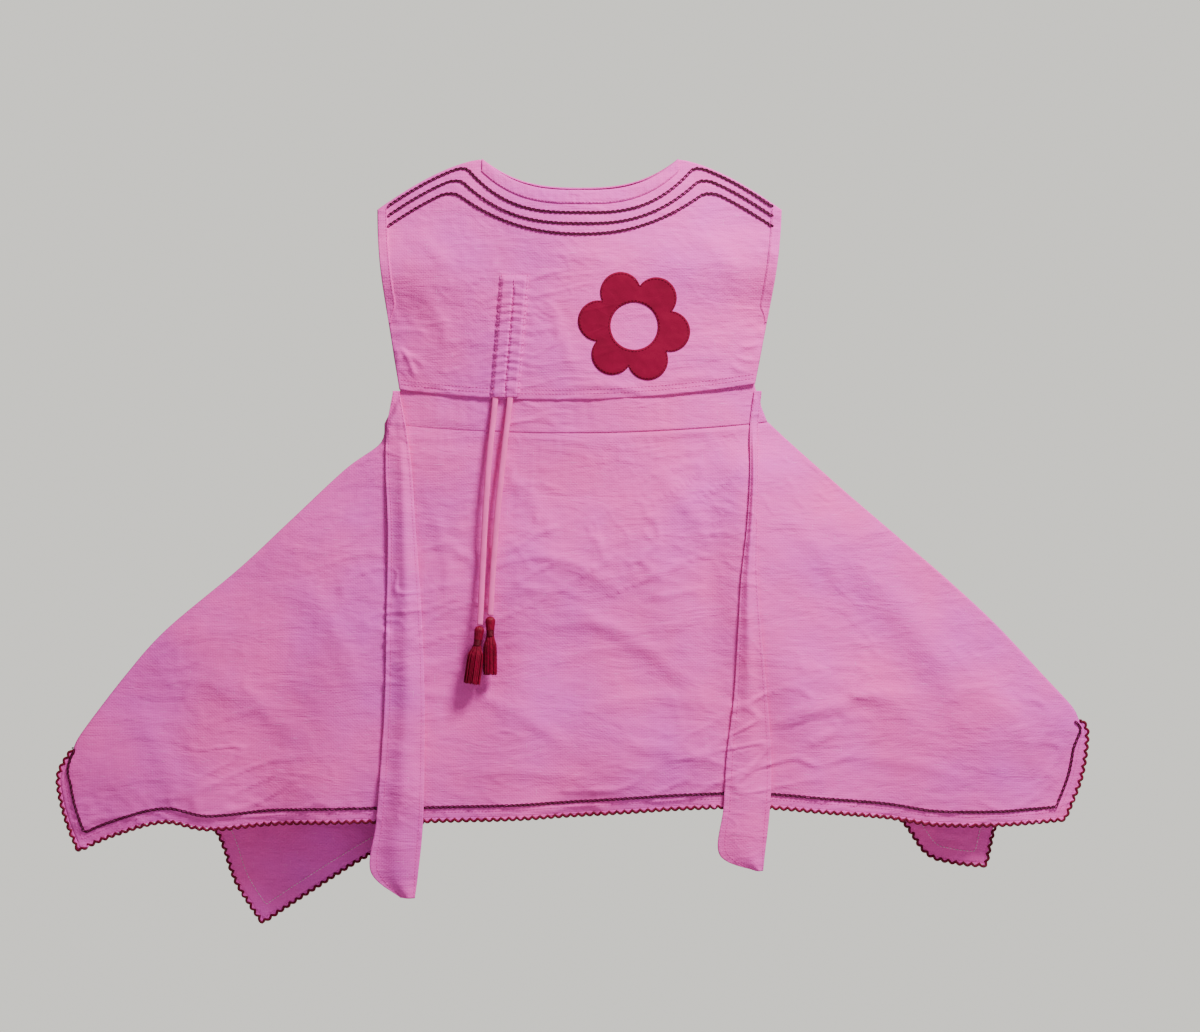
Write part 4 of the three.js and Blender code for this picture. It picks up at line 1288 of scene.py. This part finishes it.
class DRESS_OT_neck(bpy.types.Operator):
    """Make the turned binding round the front and back neck"""
    bl_idname = "dress.neck"
    bl_label = "Neck binding"

    def execute(self, context):
        for half in HALVES:
            line = neck_line(half)
            side = SIDE_SIGN[half]
            rows = []
            for inset in np.linspace(0, BINDING, 14):
                row = line.copy()
                row[:, 1] -= inset
                x, z = row[:, 0], row[:, 1]
                t = inset / BINDING
                plump = 0.45 * MM * math.sin(math.pi * min(1.0, t * 1.04)) ** 0.5
                ripple_in = 0.08 * MM * np.sin(np.arange(len(x)) * 0.9) * math.sin(math.pi * t)
                y = bodice_y(x, z, half) + side * (cloth().thickness + plump + ripple_in)
                rows.append(np.stack([x, y, z], -1))
            over = np.array(rows[0])
            lip = [over + np.array([0, -side * d * MM, h * MM]) for d, h in
                   ((1.9, -0.6), (1.5, 0.4), (0.9, 0.8), (0.3, 0.55))]
            grid = np.stack([*lip, *rows])
            piece = cloth_piece(f"neck_binding_{half}_cloth", grid, side, 0.5 * MM)
            finish_piece(piece, woven("neck_weave", shade(colours().cloth, 0.97)), "dress",
                         f"neck_binding_{half}", slot="binding_cloth")
            inner = line.copy()
            inner[:, 1] -= BINDING - 1.2 * MM
            seam = stitch_row(f"neck_{half}_stitches", inner, bodice_y, half, 1.1 * MM)
            finish_piece(seam, pink_thread(), "dress")
        return {"FINISHED"}


def arm_line(hand, half, inset, count=120):
    """A line down the armhole, inset from its edge."""
    sign = -1 if hand == "left" else 1
    v = np.linspace(0, 1, 400)
    x, z = bodice_place(np.full_like(v, sign), v, half)
    keep = z > -UNDERARM_DROP - 1 * MM
    x, z = x[keep], z[keep]
    x = x - sign * inset * (1 - 0.75 * smooth((-z - UNDERARM_DROP + 16 * MM) / (16 * MM)))
    return respace(np.stack([x, z], -1), count)


class DRESS_OT_armholes(bpy.types.Operator):
    """Make the turned facings and topstitching of the armholes"""
    bl_idname = "dress.armholes"
    bl_label = "Armhole facings"

    def execute(self, context):
        for half in HALVES:
            side = SIDE_SIGN[half]
            for hand in ("left", "right"):
                rows = []
                for inset in np.linspace(0.2 * MM, FACING, 10):
                    line = arm_line(hand, half, inset)
                    x, z = line[:, 0], line[:, 1]
                    y = bodice_y(x, z, half) + side * (cloth().thickness * 0.62)
                    rows.append(np.stack([x, y, z], -1))
                piece = cloth_piece(f"armhole_{half}_{hand}_facing", np.stack(rows), side,
                                    0.35 * MM)
                node = f"armhole_facing_{half}_{hand}"
                finish_piece(piece, woven("facing_weave", shade(colours().cloth, 0.98)), "dress",
                             node, slot="binding_cloth")
                line = arm_line(hand, half, FACING - 1.4 * MM)
                seam = stitch_row(f"armhole_{half}_{hand}_stitches", line, bodice_y, half,
                                  0.5 * MM)
                finish_piece(seam, pink_thread(), "dress")
        return {"FINISHED"}


# ---- chain-stitched rows of the yoke -----------------------------------------------------------
# For each row: how far it runs below the shoulder, where it turns, its lowest point in front,
# and how square its curve is.
YOKE_ROWS = {
    "upper": (3.2, (96.5, -8), -47.6, 2.9),
    "middle": (11.5, (101, -19), -57, 2.6),
    "lower": (20.5, (104.5, -30.5), -66, 2.2),
}


def yoke_line(below, corner, lowest, roundness):
    """A row from one shoulder end, along the shoulder, round the neck and back up."""
    outer = SHOULDER_HALF - 10 * MM
    t = np.linspace(0, 1, 40, endpoint=False)
    x = mix(-outer, -corner[0] * MM, t)
    drop = shoulder_z(x) - below * MM
    z = mix(drop, np.minimum(drop, corner[1] * MM), t ** 3)
    share = np.linspace(-1, 1, 160)
    fall = mix(lowest, corner[1], np.abs(share) ** roundness)
    neck = np.stack([share * corner[0], fall], -1) * MM
    shoulder = np.stack([x, z], -1)
    mirrored = shoulder[::-1] * (-1, 1)
    line = np.vstack([shoulder, neck, mirrored])
    line = respace(line, round(length_of(line) / MM))
    return np.vstack([line[:1], averaged(line, 7)[2:-2], line[-1:]])


class DRESS_OT_yoke_rows(bpy.types.Operator):
    """Make the three chain-stitched rows of the yoke, front and back"""
    bl_idname = "dress.yoke_rows"
    bl_label = "Yoke rows"

    def execute(self, context):
        for half in HALVES:
            for row, measures in YOKE_ROWS.items():
                piece = chain_row(f"yoke_{half}_{row}_chain", yoke_line(*measures), bodice_y, half)
                finish_piece(piece, maroon_thread(), "dress", f"yoke_row_{half}_{row}",
                             slot="trim_thread")
        return {"FINISHED"}


# ---- flower ------------------------------------------------------------------------------------
def petal_reach(angle):
    """Distance from the flower's centre to its outer edge, in millimetres."""
    step = TAU / FLOWER["petals"]
    off = (angle - math.radians(FLOWER["turn"]) + step / 2) % step - step / 2
    ring, petal = FLOWER["ring"], FLOWER["petal"]
    return ring * np.cos(off) + np.sqrt(np.maximum(0, petal ** 2 - (ring * np.sin(off)) ** 2))


class DRESS_OT_flower(bpy.types.Operator):
    """Make the six-petalled flower patch and the stitches that hold it"""
    bl_idname = "dress.flower"
    bl_label = "Flower patch"

    def execute(self, context):
        angle = np.linspace(0, TAU, 361)[:-1]
        outer = petal_reach(angle)
        share = np.linspace(0, 1, 20)[:, None]
        radius = mix(FLOWER["hole"], outer[None], share)
        x = (FLOWER["centre"][0] + radius * np.cos(angle)) * MM
        z = (FLOWER["centre"][1] + radius * np.sin(angle)) * MM
        y = bodice_y(x, z, "front", cloth().thickness / 2 + 0.35 * MM)
        y = y - 0.12 * MM * np.sin(share * np.pi) * ripple(x, z, 14 * MM, 5)
        grid = np.stack([x, y, z], -1)
        piece = ring_piece("flower_patch", grid, 0.7 * MM)
        finish_piece(piece, felt("flower_felt", colours().flower), "dress", "flower_applique",
                     slot="flower_cloth")
        rows = []
        inner = np.full_like(outer, FLOWER["hole"] + 1.6)
        for name, edge in (("outer", outer - 1.7), ("inner", inner)):
            closed = np.append(edge, edge[0])
            turn = np.append(angle, angle[0] + TAU)
            line = np.stack([(FLOWER["centre"][0] + closed * np.cos(turn)) * MM,
                             (FLOWER["centre"][1] + closed * np.sin(turn)) * MM], -1)
            rows.append(stitch_row(f"flower_{name}_stitches", line, bodice_y, "front", 0.85 * MM))
        finish_piece(join("flower_stitches", rows),
                     threaded("crimson_thread", shade(colours().flower, 0.6)), "dress")
        return {"FINISHED"}


def ring_piece(name, grid, thickness):
    """A closed sheet round a ring-shaped grid whose columns run right round."""
    rows, columns = grid.shape[:2]
    wrapped = np.concatenate([grid[:, -1:], grid, grid[:, :1]], 1)
    normal = grid_normals(wrapped, -1)[:, 1:-1]
    half = np.full((rows, 1, 1), thickness / 2)
    half[[0, -1]] *= 0.5
    points = np.concatenate([(grid + normal * half).reshape(-1, 3),
                             (grid - normal * half).reshape(-1, 3)])
    faces = []
    shift = rows * columns
    for a, b, c, d in band_faces(rows, columns):
        faces += [(a, b, c, d), (a + shift, d + shift, c + shift, b + shift)]
    for k in range(columns):
        n = (k + 1) % columns
        faces.append((n, k, k + shift, n + shift))
        last = (rows - 1) * columns
        faces.append((last + k, last + n, last + n + shift, last + k + shift))
    uv = np.concatenate([grid[..., [0, 2]].reshape(-1, 2)] * 2)
    piece = new_mesh(name, points, faces, uv)
    recalculate(piece)
    return piece


# ---- drawcord casing ---------------------------------------------------------------------------
def casing_y(across, x, z, down):
    """The gathered casing: two raised channels, drawn into fine level puckers."""
    rise = smooth(np.minimum(across, 1 - across) / 0.16)
    valley = np.exp(-((across - 0.5) / 0.045) ** 2)
    rise = rise * (1 - 0.5 * smooth((down - 0.05) / 0.08) * valley) * smooth(down / 0.05)
    wave = 1.5 * np.sin(z / (9 * MM)) + 0.8 * np.sin(x / (4 * MM) + z / (5 * MM))
    gather = np.sin(TAU * z / (5.3 * MM) + wave) + 0.5 * np.sin(TAU * z / (3.1 * MM) - wave * 1.7)
    off_seam = np.minimum(np.abs(across - 0.5), np.minimum(across, 1 - across))
    by_seam = np.exp(-(off_seam / 0.09) ** 2)
    gather = gather * (0.25 + 0.75 * by_seam) * smooth((down - 0.03) / 0.1)
    lift = 0.75 * MM + rise * 2 * MM + 0.3 * MM * gather
    return bodice_y(x, z, "front", lift)


class DRESS_OT_casing(bpy.types.Operator):
    """Make the gathered casing that the drawcord runs in"""
    bl_idname = "dress.casing"
    bl_label = "Drawcord casing"

    def execute(self, context):
        (top_x, top_z), (foot_x, foot_z) = CASING["top"], CASING["foot"]
        across, down = shares(*CASING_SQUARES)
        z = mix(top_z, foot_z, down) * MM + 0 * across
        edge = 0.35 * MM * np.sin(z / (0.9 * MM) + 2 * np.sin(z / (6 * MM)))
        x = mix(top_x, foot_x, down) * MM + (across - 0.5) * (CASING["width"] * MM + 2 * edge)
        grid = np.stack([x, casing_y(across, x, z, down), z], -1)
        piece = cloth_piece("casing_cloth", grid, -1, 0.5 * MM)
        finish_piece(piece, woven("casing_weave", shade(colours().cloth, 0.95)), "dress",
                     "drawcord_casing", slot="binding_cloth")
        rows = []
        for k, (share, first) in enumerate(((0.06, 0), (0.5, 12), (0.94, 0))):
            line = np.stack([x[:, 0] + share * (x[:, -1] - x[:, 0]), z[:, 0]], -1)[first:]

            def on_casing(px, pz, half, lift, share=share):
                return casing_y(np.full_like(px, share), px, pz, casing_across(px, pz)[1]) - lift

            rows.append(stitch_row(f"casing_stitch_{k}", line, on_casing, "front", 0.05 * MM))
        finish_piece(join("casing_stitches", rows), pink_thread(), "dress")
        return {"FINISHED"}


# ---- waistband and skirt -----------------------------------------------------------------------
def band_relief(x, z, half):
    seed = 131 if half == "front" else 151
    free = smooth((BAND_TOP - 12 * MM - z) / (10 * MM)) * 0.85 + 0.15
    share = skirt_share(x, z)
    sides = smooth(np.minimum(share, 1 - share) / 0.03) * 0.8 + 0.2
    level = crumple(x * 0.45, z, 13 * MM, seed, 1.5, 0.1)
    relief = cloth().crumple * (0.8 * ripple(x, z, 24 * MM, seed + 1) + 1.3 * level)
    relief = relief + 0.12 * MM * ripple(x, z * 0.2, 4 * MM, seed + 2)
    above = z + WAIST_DROP + waist_sag(share)
    return relief * free * sides * (0.1 + 0.9 * smooth(above / (8 * MM)))


def band_y(x, z, half, lift=0.0):
    depth = skirt_depth(x, z) + band_relief(x, z, half)
    return SIDE_SIGN[half] * (np.maximum(depth, 0.5 * MM) + lift)


class DRESS_OT_waistband(bpy.types.Operator):
    """Make the front and back of the waistband"""
    bl_idname = "dress.waistband"
    bl_label = "Waistband"

    def execute(self, context):
        left, right = np.array(BAND_LEFT) * MM, np.array(BAND_RIGHT) * MM
        share, down = shares(*BAND_SQUARES)
        for half in HALVES:
            z = mix(BAND_TOP, waist_seam_z(share) - 0.6 * MM, down)
            x = mix(*(np.interp(-z, -edge[:, 1], edge[:, 0]) for edge in (left, right)), share)
            x = x + (share - 0.5) * 2.4 * MM * smooth((z + 212 * MM) / (6 * MM))
            y = band_y(x, z, half)
            roll = np.exp(-(1 - down) * 46 * MM / (2.2 * MM))
            y = y - SIDE_SIGN[half] * 0.25 * MM * roll
            grid = np.stack([x, y, z], -1)
            piece = cloth_piece(f"waistband_{half}_cloth", grid, SIDE_SIGN[half], cloth().thickness)
            finish_piece(piece, pink_cloth(), "dress", f"waistband_{half}")
        return {"FINISHED"}


def finish_skirt(piece, material, half, *nodes, slot="pink_cloth", lift=0.0):
    """As finish_piece; the front half goes on the dress's body, and the back half goes on no body,
    with its place baked into its points.
    """
    finish_piece(piece, material, None, *nodes, slot=slot)
    if half == "front":
        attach(piece, "dress")
    else:
        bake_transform(piece)


class DRESS_OT_skirt(bpy.types.Operator):
    """Make the front and back of the handkerchief skirt"""
    bl_idname = "dress.skirt"
    bl_label = "Skirt"

    def execute(self, context):
        columns, rows = (round(count * cloth().fineness) for count in SKIRT_SQUARES)
        rows -= rows % 12  # because the rows above the side corners are so many twelfths
        for half in HALVES:
            x, z = skirt_grid(half, columns, rows)
            x = np.vstack([x[:1] * 0.985, x])
            z = np.vstack([z[:1] + 5 * MM, z])
            grid = np.stack([x, skirt_y(x, z, half), z], -1)
            piece = cloth_piece(f"skirt_{half}_cloth", grid, SIDE_SIGN[half], cloth().thickness)
            finish_skirt(piece, pink_cloth(), half, f"skirt_{half}")
            line = inset_edge(half, HEM_INSET - 4.2 * MM)
            seam = stitch_row(f"skirt_{half}_stitches", line, skirt_y, half)
            finish_skirt(seam, pink_thread(), half)
            under = stitch_row(f"skirt_{half}_under_stitches", inset_edge(half, HEM_INSET), skirt_y,
                               half, -cloth().thickness - 0.2 * MM, 0.36 * MM)
            finish_skirt(under, pale_thread(), half)
        return {"FINISHED"}


class DRESS_OT_hem_rows(bpy.types.Operator):
    """Make the chain-stitched row along the skirt's free edge"""
    bl_idname = "dress.hem_rows"
    bl_label = "Hem rows"

    def execute(self, context):
        for half in HALVES:
            piece = chain_row(f"hem_{half}_chain", inset_edge(half, HEM_INSET), skirt_y, half)
            finish_skirt(piece, maroon_thread(), half, f"hem_row_{half}", slot="trim_thread",
                         lift=1.2 * MM)
        return {"FINISHED"}


EDGE_STEP = 0.2 * MM


class DRESS_OT_edging(bpy.types.Operator):
    """Make the scalloped edge of the skirt and the thread that binds it"""
    bl_idname = "dress.edging"
    bl_label = "Scalloped edging"

    def execute(self, context):
        t = trim()
        red = threaded("edging_red", colours().edging, 0.45)
        for half in HALVES:
            edge = skirt_edge(half)
            edge = respace(edge, round(length_of(edge) / (t.scallop_pitch / 10)))
            ahead = unit(np.gradient(edge, axis=0))
            out = unit(averaged(np.stack([ahead[:, 1], -ahead[:, 0]], -1), 9))
            run = run_along(edge)
            reach = np.abs(np.sin(np.pi * run / t.scallop_pitch)) * t.scallop_depth
            steps = (-0.8 * MM, 0.0, reach * 0.5 + EDGE_STEP, reach + EDGE_STEP)
            lines = [edge + out * np.reshape(step, (-1, 1)) for step in steps]
            rows = [np.stack([line[:, 0], skirt_y(*line.T, half), line[:, 1]], -1) for line in lines]
            strip = cloth_piece(f"hem_{half}_scallops", np.stack(rows), SIDE_SIGN[half],
                                0.8 * MM, soft_edge=False)
            finish_skirt(strip, pink_cloth(), half)
            facing = np.stack([out[:, 0], np.zeros(len(out)), out[:, 1]], -1)
            thread = grow(f"hem_{half}_edging", rows[1], facing, edging_tree("scallop_thread"),
                          Pitch=t.scallop_pitch, Depth=t.scallop_depth + EDGE_STEP,
                          Thread=1.25 * MM, Material=red)
            finish_skirt(thread, red, half, f"hem_edging_{half}", slot="trim_thread")
        return {"FINISHED"}


# ---- sashes ------------------------------------------------------------------------------------
SASH_CLOTH = 0.9 * MM
SASH_TUCK = 3.5
SASH_SEED = {"left": 201, "right": 211}


def sash_away(z):
    """How far a sash lies in front of the skirt, more where it passes over the hem row."""
    rest = mix(1.5, 2.4, smooth((-z - WAIST_DROP) / (60 * MM)))
    return (rest + 1.8 * smooth((-z - 520 * MM) / (25 * MM))) * MM


def sash_base(x, z):
    """The sash's back, clear of the waistband and skirt behind it."""
    behind = np.maximum(skirt_relief(x, z, "front"), band_relief(x, z, "front"))
    return -(skirt_depth(x, z) + skirt_folds(x, z, "front") + behind + sash_away(z))


def sash_fold(hand, across, down):
    """The sash's own curl and pleats, towards the front."""
    if hand == "left":
        curl = 1.5 * (1 - np.cos(TAU * (across - 0.1))) * smooth((down - 0.08) / 0.2)
        pleat = 1.2 * np.exp(-((across - 0.68 + 0.25 * down) / 0.16) ** 2)
        return (curl + pleat * smooth((down - 0.05) / 0.1) * (1 - 0.6 * down)) * MM
    closed = 1 - smooth((down - 0.45) / 0.35)
    pleat = 3.4 * np.exp(-((across - 0.45) / 0.22) ** 2) * closed * smooth((down - 0.05) / 0.1)
    curl = 1.3 * (1 - np.cos(TAU * across)) * (1 - closed)
    return (pleat + curl) * MM


class DRESS_OT_sashes(bpy.types.Operator):
    """Make the two sashes that tie at the back"""
    bl_idname = "dress.sashes"
    bl_label = "Sashes"

    def execute(self, context):
        columns, rows = SASH_SQUARES
        across, down = shares(columns, rows)
        for hand, edges in (("left", LEFT_SASH), ("right", RIGHT_SASH)):
            tucked = np.array([edges[0], *edges]) * MM
            tucked[0, 2] += SASH_TUCK * MM
            left, right = (spline(tucked[:, [side, 2]], rows + 1) for side in (0, 1))
            x = mix(left[:, :1], right[:, :1], across)
            z = mix(left[:, 1:], right[:, 1:], across)
            y = sash_base(x, z) - sash_fold(hand, across, down)
            y = y - 0.35 * MM * (1 + ripple(x, z, 16 * MM, SASH_SEED[hand]))
            grid = np.stack([x, y, z], -1)
            piece = cloth_piece(f"sash_{hand}_cloth", grid, -1, SASH_CLOTH)
            finish_piece(piece, woven("sash_weave", colours().cloth, 1.2), f"sash_{hand}",
                         f"sash_{hand}")
            seams = []
            for name, share in (("left", 0.13), ("right", 0.92)):
                line = grid[2:-2, round(share * columns)]
                line = line + np.array([0, -SASH_CLOTH / 2 - 0.1 * MM, 0])
                lie = np.tile((0.0, -1.0, 0.0), (len(line), 1))
                seams.append(stitches(f"sash_{hand}_{name}_stitches", line, lie))
            finish_piece(join(f"sash_{hand}_stitches", seams), pink_thread(), f"sash_{hand}")
        return {"FINISHED"}


# ---- panel and registration --------------------------------------------------------------------
OPERATORS = (DRESS_OT_stage, DRESS_OT_drawcord, DRESS_OT_bodice, DRESS_OT_neck,
             DRESS_OT_armholes, DRESS_OT_flower, DRESS_OT_casing, DRESS_OT_yoke_rows,
             DRESS_OT_waistband, DRESS_OT_skirt, DRESS_OT_hem_rows, DRESS_OT_edging,
             DRESS_OT_sashes)


class DRESS_PT_panel(bpy.types.Panel):
    """Lists the dress's sizes and pieces"""
    bl_idname = "DRESS_PT_panel"
    bl_label = "Dress"
    bl_space_type = "VIEW_3D"
    bl_region_type = "UI"
    bl_category = "Dress"

    def draw(self, context):
        for group in (context.scene.dress_colours, context.scene.dress_cloth,
                      context.scene.dress_trim):
            box = self.layout.box()
            for name in group.__annotations__:
                box.prop(group, name)
        for operator in OPERATORS:
            self.layout.operator(operator.bl_idname)


GROUPS = (DressColours, DressCloth, DressTrim)


def register():
    for item in (*GROUPS, *OPERATORS, DRESS_PT_panel):
        bpy.utils.register_class(item)
    pointer = bpy.props.PointerProperty
    bpy.types.Scene.dress_colours = pointer(type=DressColours)
    bpy.types.Scene.dress_cloth = pointer(type=DressCloth)
    bpy.types.Scene.dress_trim = pointer(type=DressTrim)


def unregister():
    for name in ("dress_colours", "dress_cloth", "dress_trim"):
        delattr(bpy.types.Scene, name)
    for item in reversed((*GROUPS, *OPERATORS, DRESS_PT_panel)):
        bpy.utils.unregister_class(item)


def main():
    register()
    for operator in OPERATORS:
        family, name = operator.bl_idname.split(".")
        getattr(getattr(bpy.ops, family), name)()


if __name__ == "__main__":
    main()
